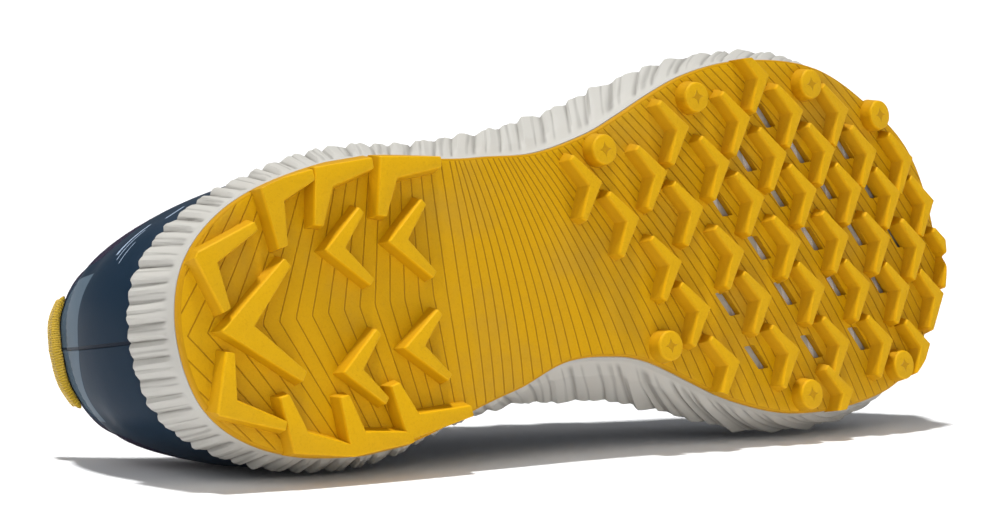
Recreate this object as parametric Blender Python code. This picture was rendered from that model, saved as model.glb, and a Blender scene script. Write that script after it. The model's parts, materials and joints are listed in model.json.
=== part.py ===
"""Right trail running shoe, lying on its medial side.

The shoe is modelled upright in its own frame: x from heel to toe, y to the medial side,
z up from the ground. An empty then lays it down, so that the midsole edge and the collar
rest on the floor. All sizes are in metres.
"""

from math import acos, cos, pi, sin

import bmesh
import bpy
import numpy as np
from mathutils import Matrix, Vector

MM = 0.001
LATERAL = -1
MEDIAL = 1

# Sole
SOLE_LENGTH = 290 * MM
HEEL_WIDTH = 83.6 * MM
BALL_WIDTH = 110 * MM
RUBBER = 2.3 * MM
TOE_SPRING = 9.7 * MM
HEEL_LIFT = 3 * MM
HEEL_LIFT_LENGTH = 25 * MM
SPRING_START = 0.62
WAIST_START = 0.3
WAIST_END = 0.6
OUTLINE_POINTS = 37

# Tread
LUG_HEIGHT = 4.5 * MM
LUG_REACH = 13 * MM
LUG_PITCH = 25 * MM
LUG_DRAFT = 1.6 * MM
LUG_EDGE_DRAFT = 1 * MM
LUG_TAPER = 0.5
LUG_ROOT = 1 * MM
STUD_FACE = 8.8 * MM
STUD_BASE = 10.6 * MM
STUD_SIDES = 12
WINDOW_LENGTH = 7.6 * MM
WINDOW_WIDTH = 4.2 * MM
WINDOW_SLANT = 0.62
PLATE = 0.8 * MM
PLATE_INSET = 9 * MM
PLATE_POINTS = 15

# Midsole
HEEL_STACK = 28 * MM
SIDE_FLARE = 6 * MM
RIBS_PER_SIDE = 46
RIB_PITCH = 8 * MM
RIB_DEPTH = 1.7 * MM
RIB_SLANT = 17 * MM
LEDGE = 4.5 * MM
BED_DEPTH = 2.5 * MM

# Upper
COLLAR_HEIGHT = 87 * MM
COLLAR_WIDTH = 66 * MM
HEEL_BULGE = 3.5 * MM
WALL = 1.8 * MM
OVERLAY = 0.8 * MM
LINING = 4.5 * MM
LINING_EDGE = 0.35
TONGUE = 4 * MM
TONGUE_EDGE = 0.5
TONGUE_RISE = 13 * MM
TONGUE_CROWN = 0.08
INSOLE = 4.5 * MM
INSOLE_EDGE = 0.7
LACE_WIDTH = 5.5 * MM
LACE = 1.5 * MM
LACE_RISE = 2.5 * MM
LACE_OVER = 2.2 * MM
LACE_STEPS = 5
EYELET = 4.2 * MM
EYELET_SIDES = 8
TAB_RISE = 2.5 * MM
TAB = 3 * MM

GAP = 0.3 * MM
MERGE = 0.002 * MM
CREASE_ANGLE = 0.6
TURN_STEP = 0.01
SHARE_STEP = 0.02

# Outline of the outsole: share of its length, then the lateral and medial shares of the local half width
SOLE_ROWS = (
    (0.000, 0.000, 0.000),
    (0.014, 0.443, 0.478),
    (0.063, 0.778, 0.801),
    (0.139, 0.950, 0.955),
    (0.241, 1.005, 0.971),
    (0.379, 0.842, 0.713),
    (0.448, 0.746, 0.539),
    (0.517, 0.747, 0.518),
    (0.561, 0.798, 0.575),
    (0.655, 0.955, 0.842),
    (0.741, 0.993, 0.984),
    (0.845, 0.895, 0.996),
    (0.922, 0.644, 0.884),
    (0.981, 0.313, 0.524),
    (1.000, -0.145, 0.145),
)

# Flare of the midsole edge past the outsole: share of the length, lateral and medial shares of SIDE_FLARE
FLARE_ROWS = (
    (0.00, 0.35, 0.35),
    (0.06, 0.20, 0.30),
    (0.14, 0.35, 0.55),
    (0.24, 0.70, 0.75),
    (0.38, 1.20, 1.00),
    (0.46, 1.50, 2.00),
    (0.55, 1.25, 1.90),
    (0.64, 0.75, 1.00),
    (0.72, 0.65, 0.85),
    (0.82, 0.90, 0.92),
    (0.90, 1.00, 1.00),
    (1.00, 0.90, 0.90),
)

# Height of the midsole edge over the sole line: share of the length, share of HEEL_STACK
STACK_ROWS = ((0.00, 1.00), (0.06, 0.93), (0.20, 0.87), (0.50, 0.87), (0.80, 0.83), (1.00, 0.83))

# Side of the midsole: share of its height, share of the flare, share of the rib depth
SIDE_PROFILE = (
    (0.00, 0.02, 0.0),
    (0.24, 0.16, 0.0),
    (0.34, 0.42, 0.7),
    (0.94, 1.00, 1.0),
    (1.00, 0.94, 0.7),
)

# Ribs: share of the length, share of RIB_PITCH, share of RIB_SLANT
RIB_ROWS = (
    (0.00, 0.62, 0.0),
    (0.10, 0.66, 0.2),
    (0.30, 0.85, 0.7),
    (0.50, 1.10, 1.0),
    (0.85, 1.10, 1.1),
    (1.00, 1.00, 0.0),
)
RIB_CREST = 0.36  # place of a rib's crest in its pitch

# Heel lugs: apex, first and second arm end as shares of the length and the half heel width, then arm width
HEEL_LUGS = (
    (0.034, 0.00, 0.114, -0.41, 0.114, 0.42, 0.46),
    (0.017, -0.53, 0.086, -0.68, 0.038, -0.12, 0.38),
    (0.017, 0.54, 0.086, 0.72, 0.035, 0.14, 0.38),
    (0.100, -0.92, 0.162, -0.97, 0.110, -0.48, 0.46),
    (0.093, 0.88, 0.162, 0.98, 0.086, 0.50, 0.46),
    (0.166, -0.98, 0.234, -0.99, 0.155, -0.60, 0.46),
    (0.159, 0.98, 0.234, 0.96, 0.155, 0.57, 0.46),
    (0.164, -0.42, 0.210, -0.67, 0.210, -0.14, 0.32),
    (0.164, 0.41, 0.209, 0.16, 0.207, 0.67, 0.32),
    (0.240, -0.41, 0.286, -0.66, 0.286, -0.12, 0.32),
    (0.240, 0.32, 0.286, 0.10, 0.286, 0.59, 0.32),
    (0.245, -0.99, 0.317, -0.93, 0.231, -0.60, 0.46),
    (0.228, 0.94, 0.310, 0.86, 0.217, 0.56, 0.46),
)

# Forefoot lugs point to the toe. Each row: place across, first apex along, lugs, first window, windows
LUG_ROWS = (
    (-0.890, 0.760, 1, 0, 0),
    (-0.673, 0.638, 4, 1, 1),
    (-0.449, 0.514, 7, 2, 3),
    (-0.227, 0.555, 7, 1, 4),
    (0.045, 0.602, 7, 1, 4),
    (0.318, 0.631, 6, 0, 4),
    (0.636, 0.660, 5, 0, 3),
    (0.909, 0.816, 1, 0, 0),
)
LUG_ARMS = ((-0.70, -0.69), (-0.60, 0.82))
LUG_BAND = 0.27
PITCH_FALL_START = 0.655
PITCH_FALL = 1.3
ROW_BEND_START = 0.776
ROW_BEND = 3.8
WINDOW_STEP = 0.42

# Round studs: share of the length, share of the half ball width
STUDS = (
    (0.524, -0.618),
    (0.655, -0.827),
    (0.821, -0.809),
    (0.922, -0.582),
    (0.572, 0.482),
    (0.755, 0.891),
    (0.902, 0.836),
)

# Edge of the collar and throat: turn, share of the length, lateral and medial shares, share of COLLAR_HEIGHT
TOP_LINE = (
    (0.00, 0.034, 0.00, 0.00, 1.000),
    (0.06, 0.039, 0.30, 0.37, 0.995),
    (0.12, 0.060, 0.64, 0.77, 0.930),
    (0.20, 0.115, 0.88, 1.02, 0.800),
    (0.28, 0.193, 0.97, 1.16, 0.725),
    (0.34, 0.259, 0.92, 1.08, 0.790),
    (0.38, 0.307, 0.79, 0.86, 0.930),
    (0.42, 0.335, 0.67, 0.73, 1.020),
    (0.50, 0.414, 0.57, 0.62, 0.990),
    (0.58, 0.500, 0.50, 0.56, 0.920),
    (0.66, 0.580, 0.43, 0.49, 0.845),
    (0.74, 0.645, 0.30, 0.38, 0.785),
    (0.82, 0.668, 0.19, 0.28, 0.765),
    (0.91, 0.680, 0.05, 0.17, 0.755),
    (1.00, 0.684, -0.06, 0.06, 0.752),
)

# Sections of the upper: turn, arch from an upright wall at 0 to a quarter ellipse at 1, share of HEEL_BULGE
SECTION_ROWS = (
    (0.00, 0.00, 1.0),
    (0.20, 0.00, 0.8),
    (0.30, 0.15, 0.6),
    (0.38, 0.45, 0.5),
    (0.45, 0.75, 0.4),
    (0.60, 0.90, 0.1),
    (0.75, 1.00, 0.0),
    (1.00, 1.00, 0.0),
)
WALL_LEAN = 1.6

# Overlays are steps in the upper's wall: first and last turn, lowest and highest share of the section
OVERLAYS = (
    (0.00, 0.24, 0.00, 0.78),
    (0.42, 1.00, 0.84, 1.00),
    (0.80, 1.00, 0.00, 0.40),
)
UPPER_TURNS = (
    0.0, 0.03, 0.06, 0.09, 0.12, 0.16, 0.2, 0.24, 0.25, 0.29, 0.33, 0.37, 0.4, 0.42, 0.46, 0.5, 0.54, 0.58,
    0.62, 0.66, 0.7, 0.74, 0.78, 0.79, 0.8, 0.84, 0.88, 0.92, 0.96, 1.0,
)
OUTER_SHARES = (0.0, 0.14, 0.27, 0.38, 0.41, 0.55, 0.7, 0.76, 0.79, 0.83, 0.86, 0.93, 1.0)
INNER_SHARES = (1.0, 0.93, 0.83, 0.7, 0.55, 0.38, 0.2, 0.0)
EYELET_TURNS = (0.44, 0.495, 0.55, 0.605, 0.66, 0.715)
EYELET_SHARE = 0.93
LINING_TURNS = (0.0, 0.04, 0.08, 0.12, 0.16, 0.2, 0.24, 0.28, 0.32, 0.36, 0.39)
LINING_SHARES = (0.52, 0.62, 0.74, 0.86, 0.96)
TONGUE_TURNS = (0.46, 0.5, 0.54, 0.58, 0.62, 0.66, 0.7, 0.74)
TONGUE_SHARES = (0.83, 0.93, 1.0)
# Free top of the tongue: share of TONGUE_RISE, then shares of the width and of the drop of its sides
TONGUE_ENDS = ((0.45, 0.86, 0.85), (1.00, 0.72, 0.55))
TONGUE_FRONT = (
    ((0.78, 0.88), (0.85, 0.95), (0.92, 1.0), (1.0, 1.0)),
    ((0.8, 0.84), (0.87, 0.86), (0.94, 0.87), (1.0, 0.88)),
)
TAB_TURNS = (0.0, 0.02, 0.04, 0.06, 0.08)
TAB_SHARES = (0.92, 0.96, 1.0)
TAB_TAPER = 0.4
TAB_ROUND = 0.25

FINISHES = {
    "outsole": ((0.78, 0.47, 0.03), 0.6, 0),
    "window_plate": ((0.36, 0.35, 0.37), 0.4, 0.3),
    "midsole": ((0.78, 0.77, 0.73), 0.7, 0),
    "insole": ((0.06, 0.07, 0.09), 0.9, 0),
    "upper": ((0.05, 0.08, 0.13), 0.45, 0),
    "collar_lining": ((0.06, 0.05, 0.09), 0.9, 0),
    "tongue": ((0.04, 0.06, 0.10), 0.9, 0),
    "lace": ((0.70, 0.69, 0.66), 0.8, 0),
    "heel_tab": ((0.80, 0.58, 0.06), 0.7, 0),
}


def read(rows, column, at):
    """One column of a table, joined smoothly between its rows."""
    keys = [row[0] for row in rows]
    values = [row[column] for row in rows]
    last = len(rows) - 1
    at = min(max(at, keys[0]), keys[last])
    first = max(i for i in range(last) if keys[i] <= at)

    def slope(i):
        low, high = max(i - 1, 0), min(i + 1, last)
        return (values[high] - values[low]) / (keys[high] - keys[low])

    span = keys[first + 1] - keys[first]
    s = (at - keys[first]) / span
    start = (1 + 2 * s) * (1 - s) ** 2 * values[first] + s * (1 - s) ** 2 * span * slope(first)
    end = s * s * (3 - 2 * s) * values[first + 1] - s * s * (1 - s) * span * slope(first + 1)
    return start + end


def turn_of(along):
    """Turn round one side, 0 at the heel and 1 at the toe, for a share of the length."""
    return acos(1 - 2 * along) / pi


def along_of(turn):
    return (1 - cos(pi * turn)) / 2


def by_turn(rows):
    return tuple((turn_of(row[0]),) + tuple(row[1:]) for row in rows)


SOLE_TURNS = by_turn(SOLE_ROWS)
FLARE_TURNS = by_turn(FLARE_ROWS)


def folded(side, turn):
    """A turn past the heel or the toe carries on along the other side."""
    if turn < 0:
        return -side, -turn
    if turn > 1:
        return -side, 2 - turn
    return side, turn


def half_width(along):
    share = min(max((along - WAIST_START) / (WAIST_END - WAIST_START), 0), 1)
    share = share * share * (3 - 2 * share)
    return (HEEL_WIDTH + (BALL_WIDTH - HEEL_WIDTH) * share) / 2


def column_of(side):
    return 1 if side == LATERAL else 2


def sole_edge(side, turn):
    side, turn = folded(side, turn)
    along = along_of(turn)
    across = side * half_width(along) * read(SOLE_TURNS, column_of(side), turn)
    return Vector((SOLE_LENGTH * along, across))


def sole_edge_normal(side, turn):
    run = sole_edge(side, turn + TURN_STEP) - sole_edge(side, turn - TURN_STEP)
    return (side * Vector((-run.y, run.x))).normalized()


def flare(side, turn):
    return SIDE_FLARE * read(FLARE_TURNS, column_of(side), turn)


def lift(x):
    """Height of the sole line over the ground: toe spring and rounded heel."""
    toe = max(x / SOLE_LENGTH - SPRING_START, 0) / (1 - SPRING_START)
    heel = max(HEEL_LIFT_LENGTH - x, 0) / HEEL_LIFT_LENGTH
    return TOE_SPRING * toe ** 2 + HEEL_LIFT * min(heel, 1) ** 2


def stack(x):
    """Height of the midsole edge over the ground."""
    along = min(max(x / SOLE_LENGTH, 0), 1)
    return HEEL_STACK * read(STACK_ROWS, 1, along) + lift(x)


def edge_point(side, turn, out, height):
    """A point beside the outsole edge, at a height over the sole line."""
    flat = sole_edge(side, turn) + out * sole_edge_normal(side, turn)
    return Vector((flat.x, flat.y, height + lift(flat.x)))


def flat_point(along, across, height):
    x = along * SOLE_LENGTH
    return Vector((x, across, height + lift(x)))


SOLE_TOP = LUG_HEIGHT + RUBBER
MIDSOLE_BASE = SOLE_TOP + GAP


def finish(name):
    colour, roughness, metallic = FINISHES[name]
    material = bpy.data.materials.new(name)
    material.use_nodes = True
    shader = material.node_tree.nodes["Principled BSDF"]
    shader.inputs["Base Color"].default_value = (*colour, 1)
    shader.inputs["Roughness"].default_value = roughness
    shader.inputs["Metallic"].default_value = metallic
    return material


def new_object(name, shape, helper=False):
    """Closes the shape, turns its faces out and puts it in the scene."""
    bmesh.ops.remove_doubles(shape, verts=shape.verts, dist=MERGE)
    bmesh.ops.recalc_face_normals(shape, faces=shape.faces)
    mesh = bpy.data.meshes.new(name)
    shape.to_mesh(mesh)
    shape.free()
    mesh.shade_smooth()
    mesh.set_sharp_from_angle(angle=CREASE_ANGLE)
    made = bpy.data.objects.new(name, mesh)
    bpy.context.scene.collection.objects.link(made)
    if helper:
        made.hide_render = True
        made.display_type = "WIRE"
    else:
        mesh.materials.append(finish(name))
    return made


def add_slab(shape, rings, count):
    """A solid between rings of paired lateral and medial points, closed across at both ends."""
    loops = []
    for ring in rings:
        sides = [[shape.verts.new(ring(side, k)) for k in range(count)] for side in (LATERAL, MEDIAL)]
        loops.append(sides)
    for low, high in zip(loops, loops[1:]):
        lower = low[0] + low[1][::-1]
        upper = high[0] + high[1][::-1]
        for i in range(len(lower)):
            j = (i + 1) % len(lower)
            shape.faces.new((lower[i], lower[j], upper[j], upper[i]))
    for lateral, medial in (loops[0], loops[-1]):
        for k in range(count - 1):
            shape.faces.new((lateral[k], lateral[k + 1], medial[k + 1], medial[k]))


def add_tube(shape, sections, closed=False):
    """A solid through closed sections of equal count, capped unless it closes on itself."""
    loops = [[shape.verts.new(point) for point in section] for section in sections]
    pairs = list(zip(loops, loops[1:] + loops[:1])) if closed else list(zip(loops, loops[1:]))
    for first, second in pairs:
        for i in range(len(first)):
            j = (i + 1) % len(first)
            shape.faces.new((first[i], first[j], second[j], second[i]))
    if not closed:
        shape.faces.new(loops[0])
        shape.faces.new(loops[-1][::-1])


def combine(target, other, operation):
    modifier = target.modifiers.new(operation.lower(), "BOOLEAN")
    modifier.operation = operation
    modifier.solver = "EXACT"
    modifier.use_self = operation != "DIFFERENCE"
    modifier.object = other


# Outsole


def chevron(apex, first, second, width, grow, draft):
    """Outline of a V-shaped lug: one band wide at its apex, with tapered arms."""
    ends = []
    inward = []
    for tip, other in ((first, second), (second, first)):
        arm = (tip - apex).normalized()
        normal = Vector((-arm.y, arm.x))
        if normal.dot(other - apex) < 0:
            normal.negate()
        inward.append(normal)
        end = tip + arm * grow
        ends.append((end - normal * grow, end + normal * (width * LUG_TAPER + draft)))
    both = (inward[0] + inward[1]) / (1 + inward[0].dot(inward[1]))
    outer = apex - both * grow
    inner = apex + both * (width + draft)
    return (outer, ends[0][0], ends[0][1], inner, ends[1][1], ends[1][0])


def add_lug(shape, apex, first, second, width):
    face = chevron(apex, first, second, width, 0, 0)
    foot = chevron(apex, first, second, width, LUG_EDGE_DRAFT, LUG_DRAFT)
    sections = []
    for outline, height in ((face, 0), (foot, LUG_HEIGHT + LUG_ROOT)):
        sections.append([Vector((p.x, p.y, height + lift(p.x))) for p in outline])
    add_tube(shape, sections)


def forefoot_lugs():
    """Apex of each forefoot lug, with its window's middle if it has one."""
    half = BALL_WIDTH / 2
    for across, along, count, first_window, windows in LUG_ROWS:
        for k in range(count):
            bend = ROW_BEND * max(along - ROW_BEND_START, 0) ** 2
            pitch = LUG_PITCH * (1 - PITCH_FALL * max(along - PITCH_FALL_START, 0))
            apex = Vector((along * SOLE_LENGTH, (across + bend) * half))
            has_window = first_window <= k < first_window + windows
            window = apex + Vector((WINDOW_STEP * pitch, 0)) if has_window else None
            yield apex, window
            along += pitch / SOLE_LENGTH


def make_lugs():
    shape = bmesh.new()
    half = HEEL_WIDTH / 2
    for row in HEEL_LUGS:
        apex, first, second = (Vector((row[i] * SOLE_LENGTH, row[i + 1] * half)) for i in (0, 2, 4))
        add_lug(shape, apex, first, second, row[6] * LUG_REACH)
    for apex, _ in forefoot_lugs():
        first, second = (apex + LUG_REACH * Vector(arm) for arm in LUG_ARMS)
        add_lug(shape, apex, first, second, LUG_BAND * LUG_REACH)
    return new_object("lugs", shape, helper=True)


def make_studs():
    shape = bmesh.new()
    for along, across in STUDS:
        middle = flat_point(along, across * BALL_WIDTH / 2, 0)
        sections = []
        for radius, height in ((STUD_FACE / 2, 0), (STUD_BASE / 2, LUG_HEIGHT + LUG_ROOT)):
            turns = [2 * pi * k / STUD_SIDES for k in range(STUD_SIDES)]
            sections.append([middle + Vector((radius * cos(a), radius * sin(a), height)) for a in turns])
        add_tube(shape, sections)
    return new_object("studs", shape, helper=True)


def make_windows():
    shape = bmesh.new()
    for _, window in forefoot_lugs():
        if not window:
            continue
        sections = []
        for height in (LUG_HEIGHT - LUG_ROOT, SOLE_TOP + LUG_ROOT):
            corners = []
            for across, step in ((-1, -1), (-1, 1), (1, 1), (1, -1)):
                y = across * WINDOW_LENGTH / 2
                x = step * WINDOW_WIDTH / 2 + WINDOW_SLANT * y
                corners.append(Vector((window.x + x, window.y + y, height + lift(window.x + x))))
            sections.append(corners)
        add_tube(shape, sections)
    return new_object("windows", shape, helper=True)


def make_outsole():
    count = OUTLINE_POINTS
    turns = [k / (count - 1) for k in range(count)]
    bevel = RUBBER / 3

    def ring(out, height):
        return lambda side, k: edge_point(side, turns[k], out, height)

    trim = bmesh.new()
    add_slab(trim, (ring(GAP, -HEEL_STACK), ring(GAP, HEEL_STACK)), count)
    plate = bmesh.new()
    rings = (ring(-bevel, LUG_HEIGHT), ring(0, LUG_HEIGHT + bevel), ring(0, SOLE_TOP))
    add_slab(plate, rings, count)
    lugs = make_lugs()
    combine(lugs, new_object("rim", trim, helper=True), "INTERSECT")
    outsole = new_object("outsole", plate)
    combine(outsole, lugs, "UNION")
    combine(outsole, make_studs(), "UNION")
    combine(outsole, make_windows(), "DIFFERENCE")
    return outsole


def window_plate_slab(grow, low, high):
    """The plate that shows through the windows, or the pocket that takes it."""
    windows = [window for _, window in forefoot_lugs() if window]
    reach = WINDOW_LENGTH + grow
    ends = (min(w.x for w in windows) - reach, max(w.x for w in windows) + reach)
    first, last = (turn_of(end / SOLE_LENGTH) for end in ends)
    count = PLATE_POINTS
    turns = [first + (last - first) * k / (count - 1) for k in range(count)]
    shape = bmesh.new()
    rings = [lambda side, k, h=h: edge_point(side, turns[k], grow - PLATE_INSET, h) for h in (low, high)]
    add_slab(shape, rings, count)
    return shape


# Midsole


class Side:
    """Rib places on one side, found from the length along the sole's edge."""

    def __init__(self, side):
        self.turns = np.linspace(0, 1, 401)
        points = [sole_edge(side, turn) for turn in self.turns]
        steps = [(b - a).length for a, b in zip(points, points[1:])]
        self.run = np.concatenate([[0], np.cumsum(steps)])
        pitch = [RIB_PITCH * read(RIB_ROWS, 1, along_of(turn)) for turn in self.turns]
        density = 1 / np.array(pitch)
        counted = np.concatenate([[0], np.cumsum((density[1:] + density[:-1]) / 2 * np.diff(self.run))])
        self.counted = counted / counted[-1] * RIBS_PER_SIDE

    def turn(self, ribs, height_share):
        """Turn at a number of ribs from the heel, moved on by the slant."""
        base = np.interp(ribs, self.counted, self.turns)
        slant = RIB_SLANT * read(RIB_ROWS, 2, along_of(base)) * height_share
        run = np.interp(base, self.turns, self.run) + slant
        return float(np.interp(run, self.run, self.turns))


def make_midsole():
    sides = {LATERAL: Side(LATERAL), MEDIAL: Side(MEDIAL)}
    count = 2 * RIBS_PER_SIDE + 1

    def wall_ring(share, flare_share, rib_share):
        def point(side, k):
            ribs = k // 2 + (RIB_CREST if k % 2 else 0)
            turn = sides[side].turn(ribs, share)
            rib = RIB_DEPTH / 2 * rib_share * (1 if k % 2 else -1)
            out = flare(side, turn) * flare_share + rib
            placed = edge_point(side, turn, out, 0)
            low = MIDSOLE_BASE + lift(placed.x)
            placed.z = low + (stack(placed.x) - low) * share
            return placed

        return point

    def top_ring(inset, depth):
        def point(side, k):
            ribs = k // 2 + (RIB_CREST if k % 2 else 0)
            turn = sides[side].turn(ribs, 1)
            placed = edge_point(side, turn, flare(side, turn) - inset, 0)
            placed.z = stack(placed.x) - depth
            return placed

        return point

    rings = [wall_ring(*row) for row in SIDE_PROFILE]
    rings.append(top_ring(LEDGE + WALL + GAP, 0))
    rings.append(top_ring(LEDGE + WALL + 2 * GAP, BED_DEPTH))
    shape = bmesh.new()
    add_slab(shape, rings, count)
    midsole = new_object("midsole", shape)
    pocket = window_plate_slab(GAP, MIDSOLE_BASE - LUG_ROOT, MIDSOLE_BASE + PLATE + GAP)
    combine(midsole, new_object("plate_pocket", pocket, helper=True), "DIFFERENCE")
    return midsole


def make_window_plate():
    return new_object("window_plate", window_plate_slab(0, MIDSOLE_BASE, MIDSOLE_BASE + PLATE))


def make_insole():
    count = OUTLINE_POINTS
    turns = [k / (count - 1) for k in range(count)]
    inset = LEDGE + WALL + 4 * GAP

    def ring(in_by, over_bed):
        def point(side, k):
            placed = edge_point(side, turns[k], flare(side, turns[k]) - inset - in_by, 0)
            placed.z = stack(placed.x) - BED_DEPTH + over_bed
            return placed

        return point

    shape = bmesh.new()
    add_slab(shape, (ring(0, GAP), ring(0, INSOLE * INSOLE_EDGE), ring(INSOLE / 3, INSOLE + GAP)), count)
    return new_object("insole", shape)


# Upper


def top_line(side, turn):
    along, height = (read(TOP_LINE, column, turn) for column in (1, 4))
    across = side * COLLAR_WIDTH / 2 * read(TOP_LINE, 1 + column_of(side), turn)
    return Vector((SOLE_LENGTH * along, across, COLLAR_HEIGHT * height))


def last_point(side, turn, share):
    """Point of the upper between the midsole edge, share 0, and the top line, share 1."""
    side, turn = folded(side, turn)
    foot = edge_point(side, turn, flare(side, turn) - LEDGE, 0)
    foot.z = stack(foot.x) + GAP
    top = top_line(side, turn)
    arch = read(SECTION_ROWS, 1, turn)
    inward = arch * (1 - cos(pi / 2 * share)) + (1 - arch) * share ** WALL_LEAN
    up = arch * sin(pi / 2 * share) + (1 - arch) * share
    bulge = HEEL_BULGE * read(SECTION_ROWS, 2, turn) * sin(pi * share)
    flat = foot.xy + (top.xy - foot.xy) * inward + sole_edge_normal(side, turn) * bulge
    return Vector((flat.x, flat.y, foot.z + (top.z - foot.z) * up))


def surface_point(side, turn, share, out):
    """Point at a distance outside the upper's surface."""
    run = last_point(side, turn + TURN_STEP, share) - last_point(side, turn - TURN_STEP, share)
    high, low = min(share + SHARE_STEP, 1), max(share - SHARE_STEP, 0)
    rise = last_point(side, turn, high) - last_point(side, turn, low)
    normal = -side * run.cross(rise)
    if share == 0:
        normal.z = 0  # the foot of the wall stays level on the midsole's ledge
    normal.normalize()
    return last_point(side, turn, share) + out * normal


def overlay_at(turn, share):
    for first, last, low, high in OVERLAYS:
        if first <= turn <= last and low <= share <= high:
            return OVERLAY
    return 0


def round_trip(turns):
    """Side and turn from the lateral far end by the heel to the medial far end."""
    return [(LATERAL, turn) for turn in turns[::-1]] + [(MEDIAL, turn) for turn in turns[1:]]


def make_upper():
    trip = round_trip(UPPER_TURNS)[:-1]
    sections = []
    for side, turn in trip:
        outside = [surface_point(side, turn, share, overlay_at(turn, share)) for share in OUTER_SHARES]
        inside = [surface_point(side, turn, share, -WALL) for share in INNER_SHARES]
        sections.append(outside + inside)
    shape = bmesh.new()
    add_tube(shape, sections, closed=True)
    upper = new_object("upper", shape)
    holes = bmesh.new()
    for turn in EYELET_TURNS:
        for side in (LATERAL, MEDIAL):
            low = surface_point(side, turn, EYELET_SHARE, -2 * WALL)
            high = surface_point(side, turn, EYELET_SHARE, WALL + 2 * OVERLAY)
            add_round(holes, low, high, EYELET / 2, EYELET_SIDES)
    combine(upper, new_object("eyelet_holes", holes, helper=True), "DIFFERENCE")
    return upper


def add_round(shape, low, high, radius, count):
    axis = (high - low).normalized()
    first = axis.orthogonal().normalized()
    second = axis.cross(first)
    turns = [2 * pi * k / count for k in range(count)]
    circle = [radius * (cos(a) * first + sin(a) * second) for a in turns]
    add_tube(shape, [[end + offset for offset in circle] for end in (low, high)])


def make_collar_lining():
    outside = -WALL - 2 * GAP
    sections = []
    for side, turn in round_trip(LINING_TURNS):
        back = [surface_point(side, turn, share, outside) for share in LINING_SHARES]
        face = []
        for i, share in enumerate(LINING_SHARES[::-1]):
            thick = LINING * (LINING_EDGE if i in (0, len(LINING_SHARES) - 1) else 1)
            face.append(surface_point(side, turn, share, outside - thick))
        sections.append(back + face)
    shape = bmesh.new()
    add_tube(shape, sections)
    return new_object("collar_lining", shape)


def make_tongue():
    under = -WALL - 3 * GAP

    def row(places, middle=None):
        lateral = [surface_point(LATERAL, turn, share, under) for turn, share in places]
        medial = [surface_point(MEDIAL, turn, share, under) for turn, share in places]
        if middle is None:
            width = (lateral[-1] - medial[-1]).length
            crown = Vector((0, 0, TONGUE_CROWN * width ** 2 / COLLAR_WIDTH))
            middle = (lateral[-1] + medial[-1]) / 2 + crown
        return lateral + [middle] + medial[::-1]

    rows = [row([(turn, share) for share in TONGUE_SHARES]) for turn in TONGUE_TURNS]
    for *places, (turn, share) in TONGUE_FRONT:
        rows.append(row(places, surface_point(LATERAL, turn, share, under)))
    middle = len(TONGUE_SHARES)
    first_row = rows[0]
    root = first_row[middle]
    back = (root - rows[1][middle]).normalized() * TONGUE_RISE
    for rise, width, drop in TONGUE_ENDS:
        shares = Vector((width, width, drop))
        rows.insert(0, [root + back * rise + (point - root) * shares for point in first_row])
    sections = []
    for i, points in enumerate(rows):
        ahead = rows[min(i + 1, len(rows) - 1)]
        behind = rows[max(i - 1, 0)]
        below = []
        for j, point in enumerate(points):
            across = points[min(j + 1, len(points) - 1)] - points[max(j - 1, 0)]
            normal = (ahead[j] - behind[j]).cross(across).normalized()
            edge = TONGUE_EDGE if j in (0, len(points) - 1) else 1
            below.append(point - TONGUE * edge * normal)
        sections.append(points + below[::-1])
    shape = bmesh.new()
    add_tube(shape, sections)
    return new_object("tongue", shape)


def add_ribbon(shape, start, end, rise):
    """A flat lace between two eyelets, arched over the tongue. Each end is a place and its normal."""
    run = end[0] - start[0]
    sections = []
    for k in range(LACE_STEPS + 1):
        s = k / LACE_STEPS
        middle = start[0] + run * s + Vector((0, 0, rise * 4 * s * (1 - s)))
        along = (run + Vector((0, 0, rise * 4 * (1 - 2 * s)))).normalized()
        across = (start[1] * (1 - s) + end[1] * s).cross(along).normalized()
        up = along.cross(across) * LACE / 2
        across = across * LACE_WIDTH / 2
        corners = ((-1, -1), (1, -1), (1, 1), (-1, 1))
        sections.append([middle + across * i + up * j for i, j in corners])
    add_tube(shape, sections)


def make_lace():
    """Crossings between the eyelets, with a straight bar at the front pair."""
    over = OVERLAY + LACE / 2 + LACE_OVER

    def eyelet(side, k):
        on_wall = surface_point(side, EYELET_TURNS[k], EYELET_SHARE, 0)
        place = surface_point(side, EYELET_TURNS[k], EYELET_SHARE, over)
        return place, (place - on_wall).normalized()

    last = len(EYELET_TURNS) - 1
    bar = bmesh.new()
    add_ribbon(bar, eyelet(LATERAL, last), eyelet(MEDIAL, last), LACE_RISE)
    lace = new_object("lace", bar)
    for k in range(last):
        for side in (LATERAL, MEDIAL):
            crossing = bmesh.new()
            rise = LACE_RISE + (0 if side == LATERAL else LACE / 2)
            add_ribbon(crossing, eyelet(side, k), eyelet(-side, k + 1), rise)
            combine(lace, new_object(f"crossing_{k}_{side}", crossing, helper=True), "UNION")
    return lace


def make_heel_tab():
    """Pull tab that lies on the back of the collar and stands over its edge."""
    sections = []
    for side, turn in round_trip(TAB_TURNS):
        thick = TAB * (1 - TAB_TAPER * (turn / TAB_TURNS[-1]) ** 2)
        top = surface_point(side, turn, 1, 0)
        outward = (surface_point(side, turn, 1, TAB) - top).normalized()
        inner = [surface_point(side, turn, share, 2 * GAP) for share in TAB_SHARES]
        outer = [surface_point(side, turn, share, 2 * GAP + thick) for share in TAB_SHARES]
        rise = Vector((0, 0, TAB_RISE))
        rounding = outward * thick * TAB_ROUND
        ends = [outer[-1] + rise - rounding, inner[-1] + rise + rounding]
        sections.append(inner[::-1] + outer + ends)
    shape = bmesh.new()
    add_tube(shape, sections)
    return new_object("heel_tab", shape)


# Lying on the floor


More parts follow.
